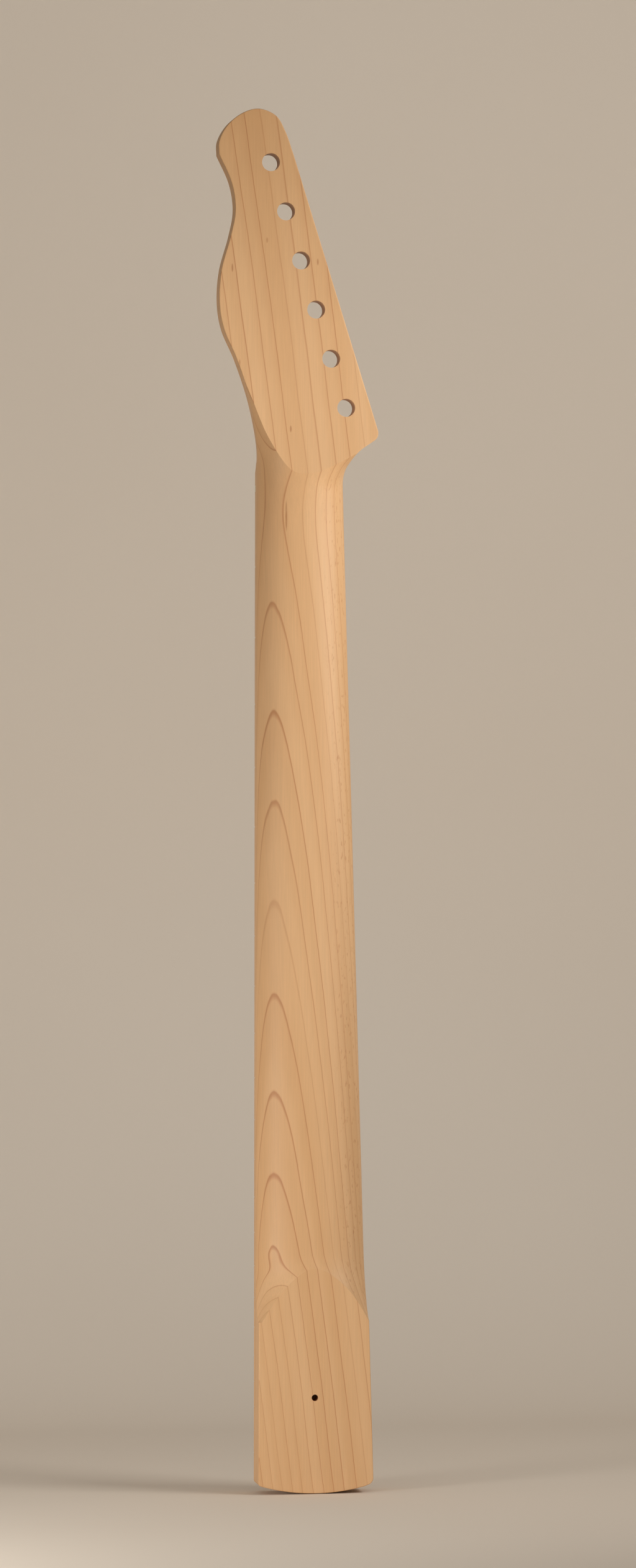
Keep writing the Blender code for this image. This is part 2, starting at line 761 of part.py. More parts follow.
# Frets
def fret_mesh():
    """Fret wire bent to the board's radius, with its tang, at the height z = 0."""
    half_tang, half_crown = TANG_WIDTH / 2, FRET_WIDTH / 2
    side = FRET_SEAT_GAP + FRET_SIDE_HEIGHT
    dome = FRET_HEIGHT - FRET_SIDE_HEIGHT
    profile = [(-half_tang, -TANG_DEPTH), (half_tang, -TANG_DEPTH)]
    profile += [(half_tang, FRET_SEAT_GAP), (half_crown, FRET_SEAT_GAP)]
    for step in range(7):
        angle = math.pi * step / 6
        height = side + dome * math.sin(angle)
        profile.append((half_crown * math.cos(angle), height))
    profile += [(-half_crown, FRET_SEAT_GAP), (-half_tang, FRET_SEAT_GAP)]

    half_turn = (HEEL_WIDTH / 2 + FRET_OVERHANG) / BOARD_RADIUS
    bm = bmesh.new()
    ring = []
    for z, height in profile:
        reach = BOARD_RADIUS + height
        x = reach * math.sin(half_turn)
        y = RADIUS_AXIS_Y + reach * math.cos(half_turn)
        ring.append(bm.verts.new((x, y, z)))
    face = bm.faces.new(ring)
    bmesh.ops.spin(
        bm,
        geom=[*ring, *face.edges, face],
        cent=(0.0, RADIUS_AXIS_Y, 0.0),
        axis=(0.0, 0.0, 1.0),
        angle=2 * half_turn,
        steps=FRET_STEPS,
    )
    return rounded(mesh_from(bm, "fret_wire"))


def fret_end_trim():
    """Hull that trims the frets flush with the board's sides and slopes their ends."""
    bm = bmesh.new()
    for z in (END_Z, NUT_Z):
        half = half_width(z) - FRET_END_INSET
        edge_y = board_surface(half)
        top_y = BOARD_TOP_Y + 3 * FRET_HEIGHT
        inward = (top_y - edge_y) * math.tan(FRET_END_SLOPE)
        for sign in (-1, 1):
            bm.verts.new((sign * half, BOARD_BACK_Y, z))
            bm.verts.new((sign * half, edge_y, z))
            bm.verts.new((sign * (half - inward), top_y, z))
    bmesh.ops.convex_hull(bm, input=bm.verts)
    return cutter("fret_end_trim", mesh_from(bm, "fret_end_trim"))


def make_frets():
    mesh = fret_mesh()
    trim = fret_end_trim()
    for number in range(1, FRET_COUNT + 1):
        place = (0.0, 0.0, fret_z(number))
        fret = part(f"fret_{number:02d}", mesh, "nickel_silver", place)
        boolean(fret, trim, "INTERSECT")


# Nut
def make_nut():
    low = (-WIDE, BOARD_TOP_Y - NUT_SLOT_DEPTH + NUT_CLEARANCE, NUT_Z + NUT_CLEARANCE)
    high = (WIDE, FRONT_Y, NUT_Z + NUT_THICKNESS - NUT_CLEARANCE)
    mesh = box("nut", low, high)
    nut = part("nut", mesh, "bone")

    middle = (0.0, RADIUS_AXIS_Y, NUT_Z)
    top = 2 * (BOARD_RADIUS + NUT_ABOVE_BOARD)
    mesh = rods("nut_radius", [(middle, PAST)], top, RADIUS_SIDES, "Z")
    boolean(nut, cutter("nut_radius", mesh), "INTERSECT")
    outline = [
        (half_width(NUT_Z - PAST) - FRET_END_INSET, NUT_Z - PAST),
        (half_width(NUT_Z + PAST) - FRET_END_INSET, NUT_Z + PAST),
    ]
    outline += [(-x, z) for x, z in reversed(outline)]
    mesh = plan_prism("nut_width", outline, JOINT_Y, FRONT_Y + PAST)
    boolean(nut, cutter("nut_width", mesh), "INTERSECT")
    boolean(nut, cutter("string_file", string_file()))


def string_file():
    """Six grooves in the nut, wide on the bass side and narrow on the treble side."""
    bm = bmesh.new()
    reach = BOARD_RADIUS + NUT_ABOVE_BOARD
    for number, width in enumerate(STRING_GROOVES):
        x = STRING_SPREAD * (0.5 - number / (len(STRING_GROOVES) - 1))
        top_y = RADIUS_AXIS_Y + math.sqrt(reach**2 - x * x)
        made = bmesh.ops.create_cube(bm, size=1.0)
        size = (width, 2 * STRING_GROOVE_DEPTH, 4 * NUT_THICKNESS)
        bmesh.ops.scale(bm, vec=size, verts=made["verts"])
        bmesh.ops.translate(bm, vec=(x, top_y, NUT_Z), verts=made["verts"])
    return mesh_from(bm, "string_file")


# Position dots
def between_frets(number):
    """Middle of the space below a fret number, where its dot lies."""
    return (fret_z(number) + fret_z(number - 1)) / 2


def face_dot_places():
    places = []
    for number in DOT_FRETS:
        z = between_frets(number)
        if number == OCTAVE_FRET:
            places.append((f"{number:02d}_treble", -OCTAVE_DOT_SPREAD / 2, z))
            places.append((f"{number:02d}_bass", OCTAVE_DOT_SPREAD / 2, z))
        else:
            places.append((f"{number:02d}", 0.0, z))
    return places


def side_dot_places():
    places = []
    for number in DOT_FRETS:
        z = between_frets(number)
        if number == OCTAVE_FRET:
            places.append((f"{number:02d}_lower", z - OCTAVE_SIDE_SPREAD / 2))
            places.append((f"{number:02d}_upper", z + OCTAVE_SIDE_SPREAD / 2))
        else:
            places.append((f"{number:02d}", z))
    return places


def side_dot_y():
    return JOINT_Y + SIDE_DOT_ABOVE_JOINT


def make_dots(envelope):
    diameter = FACE_DOT - 2 * DOT_CLEARANCE
    mesh = rods("face_dot", [((0.0, PAST / 2, 0.0), PAST)], diameter, DOT_SIDES, "Y")
    bottom_y = BOARD_TOP_Y - FACE_DOT_DEPTH + DOT_CLEARANCE
    for name, x, z in face_dot_places():
        dot = part(f"face_dot_{name}", mesh, "black_plastic", (x, bottom_y, z))
        boolean(dot, envelope, "INTERSECT")

    diameter = SIDE_DOT - 2 * DOT_CLEARANCE
    ends = [((PAST / 2, 0.0, 0.0), PAST)]
    mesh = rods("side_dot", ends, diameter, SIDE_DOT_SIDES, "X")
    for name, z in side_dot_places():
        inner = half_width(z) - SIDE_DOT_LENGTH + DOT_CLEARANCE
        place = (inner, side_dot_y(), z)
        dot = part(f"side_dot_{name}", mesh, "black_plastic", place)
        boolean(dot, envelope, "INTERSECT")


# Truss rod
def make_truss_rod():
    """A round rod and a flat bar held by two blocks: the rod turns in the blocks."""
    axis = bpy.data.objects.new("truss_axis", None)
    parts.objects.link(axis)
    axis.location = (0.0, ROD_Y, NUT_Z)

    front_top = NUT_Z - FRONT_BLOCK_BELOW_NUT
    rear_low = REAR_END_ABOVE_SEAT
    top_y = JOINT_Y - BLOCK_TOP_BELOW_JOINT
    half = CHANNEL_WIDTH / 2 - CHANNEL_CLEARANCE
    bore = ROD_DIAMETER + 2 * ROD_BORE_CLEARANCE
    for name, low in (
        ("truss_front_block", front_top - BLOCK_LENGTH),
        ("truss_rear_block", rear_low),
    ):
        corner = (-half, CHANNEL_FLOOR_Y + CHANNEL_CLEARANCE, low)
        mesh = box(name, corner, (half, top_y, low + BLOCK_LENGTH))
        block = part(name, mesh, "brass")
        ends = [((0.0, ROD_Y, low + BLOCK_LENGTH / 2), BLOCK_LENGTH + PAST)]
        mesh = rods(f"{name}_bore", ends, bore, ROD_SIDES, "Z")
        boolean(block, cutter(f"{name}_bore", mesh))

    bar_low = (-half, top_y - BAR_DEPTH, rear_low + BLOCK_LENGTH + BAR_JOINT)
    bar_high = (half, top_y, front_top - BLOCK_LENGTH - BAR_JOINT)
    part("truss_flat_bar", box("truss_flat_bar", bar_low, bar_high), "plain_steel")

    adjuster_low = NUT_Z + ADJUSTER_GAP
    rod_high = adjuster_low - ADJUSTER_SEAT_GAP
    length = rod_high - rear_low
    ends = [((0.0, 0.0, 0.0), length)]
    mesh = rods("truss_rod", ends, ROD_DIAMETER, ROD_SIDES, "Z")
    place = (0.0, ROD_Y, rear_low + length / 2)
    part("truss_rod", rounded(mesh), "plain_steel", place, axis)

    ends = [((0.0, 0.0, 0.0), ADJUSTER_LENGTH)]
    mesh = rods("truss_adjuster", ends, ADJUSTER_DIAMETER, ROD_SIDES, "Z")
    place = (0.0, ROD_Y, adjuster_low + ADJUSTER_LENGTH / 2)
    adjuster = part("truss_adjuster", rounded(mesh), "plain_steel", place, axis)
    across_corners = KEY_ACROSS_FLATS / math.cos(math.pi / 6)
    socket = (0.0, ROD_Y, adjuster_low + ADJUSTER_LENGTH)
    mesh = rods("key_socket", [(socket, 2 * KEY_SOCKET_DEPTH)], across_corners, 6, "Z")
    boolean(adjuster, cutter("key_socket", mesh))


def main():
    make_neck()
    round_top = radius_cylinder()
    envelope = board_envelope(round_top)
    make_fretboard(round_top)
    make_frets()
    make_nut()
    make_dots(envelope)
    make_truss_rod()
    bpy.context.view_layer.update()


main()
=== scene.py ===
"""Looks of a bolt-on guitar neck in raw maple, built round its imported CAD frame.

Row frame, in metres: +X is the bass side, +Y runs from the back of the neck to the
fretboard, +Z runs up to the headstock. The origin lies on the flat of the heel.
"""

import json
import logging
import math
from dataclasses import dataclass
from enum import Enum

import bmesh
import bpy
import numpy as np
from mathutils import Matrix, Vector

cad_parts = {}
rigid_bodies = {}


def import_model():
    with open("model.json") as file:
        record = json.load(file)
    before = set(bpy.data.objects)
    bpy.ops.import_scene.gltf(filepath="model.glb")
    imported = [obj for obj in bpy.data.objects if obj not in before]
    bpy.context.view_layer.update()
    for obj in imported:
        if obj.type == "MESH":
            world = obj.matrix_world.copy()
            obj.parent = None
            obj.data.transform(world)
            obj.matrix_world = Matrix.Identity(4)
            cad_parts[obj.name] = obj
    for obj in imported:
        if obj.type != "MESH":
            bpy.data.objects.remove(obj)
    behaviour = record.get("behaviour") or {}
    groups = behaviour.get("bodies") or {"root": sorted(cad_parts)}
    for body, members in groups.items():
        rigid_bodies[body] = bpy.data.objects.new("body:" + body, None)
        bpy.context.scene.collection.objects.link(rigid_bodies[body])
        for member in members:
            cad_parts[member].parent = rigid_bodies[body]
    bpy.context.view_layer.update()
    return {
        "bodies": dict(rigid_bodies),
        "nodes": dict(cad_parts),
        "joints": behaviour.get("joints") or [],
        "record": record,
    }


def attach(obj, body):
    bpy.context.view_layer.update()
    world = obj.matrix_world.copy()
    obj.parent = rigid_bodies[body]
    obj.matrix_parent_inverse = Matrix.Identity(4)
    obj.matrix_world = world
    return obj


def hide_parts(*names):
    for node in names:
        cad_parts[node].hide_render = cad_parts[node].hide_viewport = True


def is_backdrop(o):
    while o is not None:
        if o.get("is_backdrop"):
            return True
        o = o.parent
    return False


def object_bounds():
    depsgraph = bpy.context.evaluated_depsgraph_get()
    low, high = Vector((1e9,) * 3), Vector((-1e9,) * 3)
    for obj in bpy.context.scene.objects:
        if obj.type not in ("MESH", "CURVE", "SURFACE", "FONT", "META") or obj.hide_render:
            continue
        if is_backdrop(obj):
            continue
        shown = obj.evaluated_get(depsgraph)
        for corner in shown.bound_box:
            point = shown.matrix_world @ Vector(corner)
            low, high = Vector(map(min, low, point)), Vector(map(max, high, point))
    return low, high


LOG = logging.getLogger("guitar_neck")
SHARP_ANGLE = math.radians(11.0)
WIRE_ANGLE = math.radians(40.0)
MERGE_DISTANCE = 1e-7
FRETS_PER_OCTAVE = 12.0
HEX_SIDES = 6

Point2 = tuple[float, float]
Point3 = tuple[float, float, float]
Colour = tuple[float, float, float, float]


class Side(Enum):
    """The two long sides of the neck, by the strings that lie nearest."""

    TREBLE = -1
    BASS = 1


class Body(Enum):
    """The CAD bodies that pieces ride on."""

    NECK = "neck_body"
    ROD = "rod_body"


# Sizes that several pieces share
@dataclass(frozen=True)
class NeckPlan:
    """Lengths, widths and heights that place every piece of the neck."""

    scale_length: float = 0.6477
    fret_count: int = 22
    last_fret_to_end: float = 0.0186
    seat_to_end: float = 0.0381
    nut_width: float = 0.042
    heel_width: float = 0.056
    blank_depth: float = 0.01905
    board_depth: float = 0.00635
    board_radius: float = 0.2413
    glue_line: float = 0.00005
    nut_thickness: float = 0.0032
    nut_slot_depth: float = 0.0032
    shelf_behind_nut: float = 0.0055
    headstock_depth: float = 0.0143
    face_scoop_radius: float = 0.022
    tuner_count: int = 6
    tuner_pitch: float = 0.02478
    tuner_line_tilt: float = math.radians(16.4)
    first_tuner_above_nut: float = 0.0395
    first_tuner_from_centre: float = 0.0214
    past: float = 0.012
    wide: float = 0.075
    past_tip: float = 0.25

    @property
    def end_z(self) -> float:
        """Height of the heel's end."""
        return -self.seat_to_end

    @property
    def nut_z(self) -> float:
        """Height of the nut's playing edge."""
        return self.end_z + self.last_fret_to_end + self.fret_distance(self.fret_count)

    @property
    def shelf_z(self) -> float:
        """Height of the fretboard's end behind the nut."""
        return self.nut_z + self.nut_thickness + self.shelf_behind_nut

    @property
    def board_top_y(self) -> float:
        """Highest line of the radiused board."""
        return self.blank_depth + self.board_depth

    @property
    def radius_axis_y(self) -> float:
        """Axis of the board's radius."""
        return self.board_top_y - self.board_radius

    @property
    def front_y(self) -> float:
        """A plane clear of the board, that cutters reach to."""
        return self.board_top_y + 2 * self.past

    @property
    def beyond_tip_z(self) -> float:
        """A height clear of the headstock's tip, that cutters reach to."""
        return self.nut_z + self.past_tip

    def fret_distance(self, number: float) -> float:
        """Distance from the nut to a fret."""
        return self.scale_length * (1.0 - 2.0 ** (-number / FRETS_PER_OCTAVE))

    def fret_z(self, number: float) -> float:
        """Height of a fret."""
        return self.nut_z - self.fret_distance(number)

    def half_width(self, z: float) -> float:
        """Half the width on the straight taper from heel to nut."""
        share = (z - self.end_z) / (self.nut_z - self.end_z)
        return 0.5 * (self.heel_width + (self.nut_width - self.heel_width) * share)

    def board_surface(self, x: float) -> float:
        """Height of the radiused board at a distance from the centre line."""
        return self.radius_axis_y + math.sqrt(self.board_radius**2 - x * x)

    def by_tuner(self, number: float, along: float, across: float) -> Vector:
        """Places a point of the headstock from one of its tuner holes.

        Args:
            number: The hole, from 1 nearest the nut.
            along: Distance past it, up the line of holes.
            across: Distance from that line towards the treble side.

        Returns:
            The point as x and z.
        """
        tilt = self.tuner_line_tilt
        up = Vector((-math.sin(tilt), math.cos(tilt)))
        over = Vector((-math.cos(tilt), -math.sin(tilt)))
        first = Vector(
            (self.first_tuner_from_centre, self.nut_z + self.first_tuner_above_nut)
        )
        return first + up * ((number - 1) * self.tuner_pitch + along) + over * across


PLAN = NeckPlan()


# Mesh making
def ease(value: float, start: float, run: float) -> float:
    """Smooth step from 0 at start to 1 at start + run."""
    share = min(max((value - start) / run, 0.0), 1.0)
    return share * share * (3.0 - 2.0 * share)


def new_mesh_object(name: str, mesh: bpy.types.Mesh) -> bpy.types.Object:
    """Links a mesh into the scene as an object at the origin.

    Args:
        name: The object's name.
        mesh: Its mesh.

    Returns:
        The object.
    """
    obj = bpy.data.objects.new(name, mesh)
    bpy.context.scene.collection.objects.link(obj)
    return obj


def mesh_from(bm: bmesh.types.BMesh, name: str) -> bpy.types.Mesh:
    """Turns a bmesh into a mesh whose faces point outwards.

    Args:
        bm: The bmesh, which is freed.
        name: The mesh's name.

    Returns:
        The mesh.
    """
    bmesh.ops.recalc_face_normals(bm, faces=bm.faces)
    if bm.calc_volume(signed=True) < 0.0:
        bmesh.ops.reverse_faces(bm, faces=bm.faces)
    mesh = bpy.data.meshes.new(name)
    bm.to_mesh(mesh)
    bm.free()
    return mesh


def box_mesh(name: str, low: Point3, high: Point3) -> bpy.types.Mesh:
    """A box between two corners.

    Args:
        name: The mesh's name.
        low: The corner with the least numbers.
        high: The one opposite.

    Returns:
        The mesh.
    """
    start, end = Vector(low), Vector(high)
    bm = bmesh.new()
    bmesh.ops.create_cube(bm, size=1.0)
    bmesh.ops.scale(bm, vec=end - start, verts=bm.verts)
    bmesh.ops.translate(bm, vec=(start + end) / 2, verts=bm.verts)
    return mesh_from(bm, name)


def bar_mesh(
    name: str,
    bars: list[tuple[Point3, float]],
    diameter: float,
    sides: int,
    axis: Point3,
) -> bpy.types.Mesh:
    """Round bars that all lie along one axis.

    Args:
        name: The mesh's name.
        bars: Middle point and length of each bar.
        diameter: Distance across the bars' corners.
        sides: Flat sides round each bar.
        axis: The direction that they lie along.

    Returns:
        One mesh with all the bars.
    """
    turn = Vector((0, 0, 1)).rotation_difference(Vector(axis)).to_matrix()
    bm = bmesh.new()
    for middle, length in bars:
        made = bmesh.ops.create_cone(
            bm,
            cap_ends=True,
            segments=sides,
            radius1=diameter / 2,
            radius2=diameter / 2,
            depth=length,
        )
        bmesh.ops.rotate(bm, matrix=turn, verts=made["verts"])
        bmesh.ops.translate(bm, vec=middle, verts=made["verts"])
    return mesh_from(bm, name)


def outline_solid(
    outline: list[Point2], thickness: float, soften: float, rings: int
) -> bmesh.types.BMesh:
    """Gives a flat outline thickness in its own plane.

    Args:
        outline: Corners of the outline, in order.
        thickness: Full thickness.
        soften: Radius that eases its two rims.
        rings: Extra rings of faces in that radius.

    Returns:
        The closed solid.
    """
    curve = bpy.data.curves.new("outline", "CURVE")
    curve.dimensions = "2D"
    curve.fill_mode = "BOTH"
    spline = curve.splines.new("POLY")
    spline.points.add(len(outline) - 1)
    for point, (across, up) in zip(spline.points, outline):
        point.co = (across, up, 0.0, 1.0)
    spline.use_cyclic_u = True
    curve.bevel_depth = soften
    curve.bevel_resolution = rings
    curve.offset = -soften
    curve.extrude = thickness / 2 - soften
    holder = bpy.data.objects.new("outline", curve)
    bpy.context.scene.collection.objects.link(holder)
    bpy.context.view_layer.update()
    graph = bpy.context.evaluated_depsgraph_get()
    mesh = bpy.data.meshes.new_from_object(holder.evaluated_get(graph))
    bpy.data.objects.remove(holder, do_unlink=True)
    bm = bmesh.new()
    bm.from_mesh(mesh)
    bpy.data.meshes.remove(mesh)
    bmesh.ops.remove_doubles(bm, verts=bm.verts, dist=MERGE_DISTANCE)
    return bm


def plan_prism(
    name: str, outline: list[Point2], back: float, front: float, soften: float = 0.0
) -> bpy.types.Mesh:
    """An outline of x and z, given depth from y = back to y = front.

    Args:
        name: The mesh's name.
        outline: Corners of the outline, in order.
        back: Where it begins.
        front: Where it ends.
        soften: Radius that eases its two rims.

    Returns:
        The mesh.
    """
    bm = outline_solid(outline, front - back, soften, rings=2)
    for vert in bm.verts:
        x, z, y = vert.co
        vert.co = (x, (back + front) / 2 + y, z)
    return mesh_from(bm, name)


def side_prism(name: str, outline: list[Point2], half: float) -> bpy.types.Mesh:
    """An outline of z and y, given width from x = -half to x = half.

    Args:
        name: The mesh's name.
        outline: Corners of the outline, in order.
        half: Half the width.

    Returns:
        The mesh.
    """
    bm = outline_solid(outline, 2 * half, soften=0.0, rings=0)
    for vert in bm.verts:
        z, y, x = vert.co
        vert.co = (x, y, z)
    return mesh_from(bm, name)


def loft_mesh(name: str, sections: list[list[Point3]]) -> bpy.types.Mesh:
    """Closed sections of equal point counts, joined in order and capped.

    Args:
        name: The mesh's name.
        sections: The points of each section.

    Returns:
        The mesh.
    """
    bm = bmesh.new()
    rings = [[bm.verts.new(point) for point in section] for section in sections]
    for first, second in zip(rings[:-1], rings[1:]):
        for i in range(len(first)):
            j = (i + 1) % len(first)
            bm.faces.new((first[i], first[j], second[j], second[i]))
    bm.faces.new(rings[0])
    bm.faces.new(rings[-1])
    return mesh_from(bm, name)


def carved(
    name: str, base: bpy.types.Mesh, steps: list[tuple[str, bpy.types.Mesh]]
) -> bpy.types.Object:
    """Cuts a base mesh down step by step and leaves one plain mesh.

    Args:
        name: The finished object's name.
        base: What is cut.
        steps: Boolean operation and cutter mesh of each step, in order.

    Returns:
        The finished object, with smooth faces and sharp corners marked.
    """
    obj = new_mesh_object(name, base)
    helpers = []
    for number, (operation, mesh) in enumerate(steps):
        helper = new_mesh_object(f"{name}_cutter_{number}", mesh)
        helpers.append(helper)
        modifier = obj.modifiers.new(helper.name, "BOOLEAN")
        modifier.operation = operation
        modifier.object = helper
        modifier.solver = "MANIFOLD"
    bake_modifiers(obj)
    for helper in helpers:
        bpy.data.objects.remove(helper, do_unlink=True)
    smooth_by_angle(obj.data)
    return obj


def bake_modifiers(obj: bpy.types.Object) -> None:
    """Replaces an object's mesh by the evaluated one and drops its modifiers.

    Args:
        obj: The object.
    """
    bpy.context.view_layer.update()
    graph = bpy.context.evaluated_depsgraph_get()
    mesh = bpy.data.meshes.new_from_object(obj.evaluated_get(graph))
    obj.modifiers.clear()
    obj.data = mesh


def keep_inside(obj: bpy.types.Object, low: Vector, high: Vector) -> None:
    """Draws in the few points that a finer curve puts past the CAD model's box.

    Args:
        obj: The object.
        low: The box's least corner.
        high: The one opposite.
    """
    for vert in obj.data.vertices:
        for axis in range(3):
            vert.co[axis] = min(max(vert.co[axis], low[axis]), high[axis])


def smooth_by_angle(mesh: bpy.types.Mesh, angle: float = SHARP_ANGLE) -> None:
    """Smooth shading that keeps edges sharper than the angle."""
    mesh.shade_smooth()
    mesh.set_sharp_from_angle(angle=angle)


def fillet(
    before: Point2, corner: Point2, after: Point2, radius: float, steps: int
) -> list[Point2]:
    """Points on the arc that rounds a corner between two straight runs.

    Args:
        before: A point on the first run.
        corner: Where the runs meet.
        after: A point on the second run.
        radius: The arc's radius.
        steps: How many parts it has.

    Returns:
        The points, from the first run to the second.
    """
    start_run = (Vector(before) - Vector(corner)).normalized()
    end_run = (Vector(after) - Vector(corner)).normalized()
    half = start_run.angle(end_run) / 2
    centre = Vector(corner) + (start_run + end_run).normalized() * (
        radius / math.sin(half)
    )
    reach = radius / math.tan(half)
    start = Vector(corner) + start_run * reach - centre
    end = Vector(corner) + end_run * reach - centre
    turn = start.angle_signed(end)
    points = []
    for step in range(steps + 1):
        angle = -turn * step / steps
        cos, sin = math.cos(angle), math.sin(angle)
        arm = Vector((start.x * cos - start.y * sin, start.x * sin + start.y * cos))
        points.append(tuple(centre + arm))
    return points


def smooth_through(anchors: list[Point2], steps: int) -> list[Point2]:
    """A centripetal spline through the anchors, leaving out the last one.

    Args:
        anchors: Points that it passes.
        steps: Parts between two anchors.

    Returns:
        Its points.
    """
    points = [Vector(anchor) for anchor in anchors]
    points = [2 * points[0] - points[1], *points, 2 * points[-1] - points[-2]]
    found = []
    for four in zip(points, points[1:], points[2:], points[3:]):
        knots = [0.0]
        for near, far in zip(four, four[1:]):
            knots.append(knots[-1] + math.sqrt((far - near).length))
        for step in range(steps):
            place = knots[1] + (knots[2] - knots[1]) * step / steps
            level = list(four)
            for width in (1, 2, 3):
                level = [
                    spline_blend(level[i], level[i + 1], knots, i, width, place)
                    for i in range(len(level) - 1)
                ]
            found.append(tuple(level[0]))
    return found


def spline_blend(
    low: Vector, high: Vector, knots: list[float], index: int, width: int, place: float
) -> Vector:
    """One step of the spline's pyramid of blends.

    Args:
        low: The earlier point.
        high: The later one.
        knots: The four anchors' places along the spline.
        index: Which blend of its level this is.
        width: The level, from 1.
        place: Where on the spline the point is sought.

    Returns:
        The blended point.
    """
    start, end = knots[index], knots[index + 1]
    if width == 2:
        start, end = knots[index], knots[index + 2]
    if width == 3:
        start, end = knots[1], knots[2]
    return low.lerp(high, (place - start) / (end - start))


# Node trees
class Shade:
    """Short ways to lay nodes in a shader tree."""

    def __init__(self, tree: bpy.types.NodeTree) -> None:
        """Takes the tree that is built in."""
        self.tree = tree

    def node(self, kind: str, **settings: object) -> bpy.types.Node:
        """Adds a node and sets its properties.

        Args:
            kind: Blender's name for the node's type.
            settings: The node's properties by name.

        Returns:
            The node.
        """
        made = self.tree.nodes.new(kind)
        for key, value in settings.items():
            setattr(made, key, value)
        return made

    def put(self, socket: bpy.types.NodeSocket, value: object) -> None:
        """Links an output to a socket, or sets its value.

        Args:
            socket: The input that is fed.
            value: Another node's output, or a plain value.
        """
        if isinstance(value, bpy.types.NodeSocket):
            self.tree.links.new(value, socket)
        else:
            socket.default_value = value

    def fed(self, made: bpy.types.Node, *values: object) -> bpy.types.Node:
        """Feeds a node's first inputs, in order.

        Args:
            made: The node.
            values: What goes into each input.

        Returns:
            The same node.
        """
        for socket, value in zip(made.inputs, values):
            self.put(socket, value)
        return made

    def math(self, operation: str, *values: object, clamp: bool = False) -> object:
        """A Math node's result."""
        made = self.node("ShaderNodeMath", operation=operation, use_clamp=clamp)
        return self.fed(made, *values).outputs[0]

    def product(self, *values: object) -> object:
        """Two numbers, multiplied."""
        return self.math("MULTIPLY", *values)

    def vector(self, operation: str, *values: object) -> object:
        """A Vector Math node's result.

        Args:
            operation: Blender's name for it.
            values: Outputs or plain vectors.

        Returns:
            The vector, or the number that a dot product gives.
        """
        made = self.node("ShaderNodeVectorMath", operation=operation)
        self.fed(made, *values)
        return made.outputs["Value" if operation == "DOT_PRODUCT" else "Vector"]

    def place(self) -> object:
        """The point in the row frame, since every piece sits at the origin."""
        return self.node("ShaderNodeTexCoord").outputs["Object"]

    def split(self, vector: object) -> bpy.types.bpy_prop_collection:
        """Splits a vector into its three numbers."""
        return self.fed(self.node("ShaderNodeSeparateXYZ"), vector).outputs

    def noise(
        self,
        vector: object,
        scale: Point3 | float,
        detail: float = 2.0,
        rough: float = 0.5,
    ) -> object:
        """The factor of a 3-D Noise texture.

        Args:
            vector: Where it is read.
            scale: How often it changes per metre, along each axis or along all.
            detail: How many finer layers it has.
            rough: How strong these are.

        Returns:
            The factor, around 0.5.
        """
        if isinstance(scale, tuple):
            vector, scale = self.vector("MULTIPLY", vector, scale), 1.0
        made = self.node("ShaderNodeTexNoise", noise_dimensions="3D")
        names = ("Vector", "Scale", "Detail", "Roughness")
        for name, value in zip(names, (vector, scale, detail, rough)):
            self.put(made.inputs[name], value)
        return made.outputs[0]

    def noise_1d(self, place: object, scale: float) -> object:
        """The factor of a 1-D Noise texture.

        Args:
            place: Where it is read.
            scale: How often it changes.

        Returns:
            The factor, around 0.5.
        """
        made = self.node("ShaderNodeTexNoise", noise_dimensions="1D")
        for name, value in (("W", place), ("Scale", scale), ("Detail", 1.0)):
            self.put(made.inputs[name], value)
        return made.outputs[0]

    def ramp(self, value: object, low: float, high: float) -> object:
        """A smooth step from 0 to 1 between two values.

        Args:
            value: What is compared.
            low: Where the step starts.
            high: Where it ends.

        Returns:
            The step's height.
        """
        made = self.node("ShaderNodeMapRange", interpolation_type="SMOOTHSTEP")
        return self.fed(made, value, low, high).outputs[0]

    def mix(self, factor: object, first: object, second: object) -> object:
        """Mixes two colours.

        Args:
            factor: 0 for the first, 1 for the second.
            first: A colour.
            second: Another.

        Returns:
            The mixed colour.
        """
        made = self.node("ShaderNodeMix", data_type="RGBA")
        for name, value in (("Factor", factor), ("A", first), ("B", second)):
            self.put(made.inputs[name], value)
        return made.outputs["Result"]


def linear(red: int, green: int, blue: int) -> Colour:
    """Turns a screen colour into the linear one that a shader takes.

    The numbers in it are those of the sRGB standard.

    Args:
        red: From 0 to 255.
        green: From 0 to 255.
        blue: From 0 to 255.

    Returns:
        The linear colour, opaque.
    """
    shares = (red / 255, green / 255, blue / 255)
    return (
        *(v / 12.92 if v <= 0.04045 else ((v + 0.055) / 1.055) ** 2.4 for v in shares),
        1.0,
    )


def effect_group(
    name: str, inputs: dict[str, object]
) -> tuple[bpy.types.NodeTree, Shade, bpy.types.bpy_prop_collection]:
    """A shader group that puts out a colour, a roughness and a height.

    Args:
        name: The group's name.
        inputs: Its inputs, each with the value that it starts with.

    Returns:
        The group, a helper to build in it, and its inputs as outputs to link from.
    """
    group = bpy.data.node_groups.new(name, "ShaderNodeTree")
    kinds = {3: "NodeSocketVector", 4: "NodeSocketColor"}
    for label, value in inputs.items():
        count = len(value) if isinstance(value, tuple) else 1
        kind = kinds.get(count, "NodeSocketFloat")
        made = group.interface.new_socket(name=label, in_out="INPUT", socket_type=kind)
        made.default_value = value
    for label, kind in (
        ("Color", "NodeSocketColor"),
        ("Roughness", "NodeSocketFloat"),
        ("Height", "NodeSocketFloat"),
    ):
        group.interface.new_socket(name=label, in_out="OUTPUT", socket_type=kind)
    shade = Shade(group)
    return group, shade, shade.node("NodeGroupInput").outputs


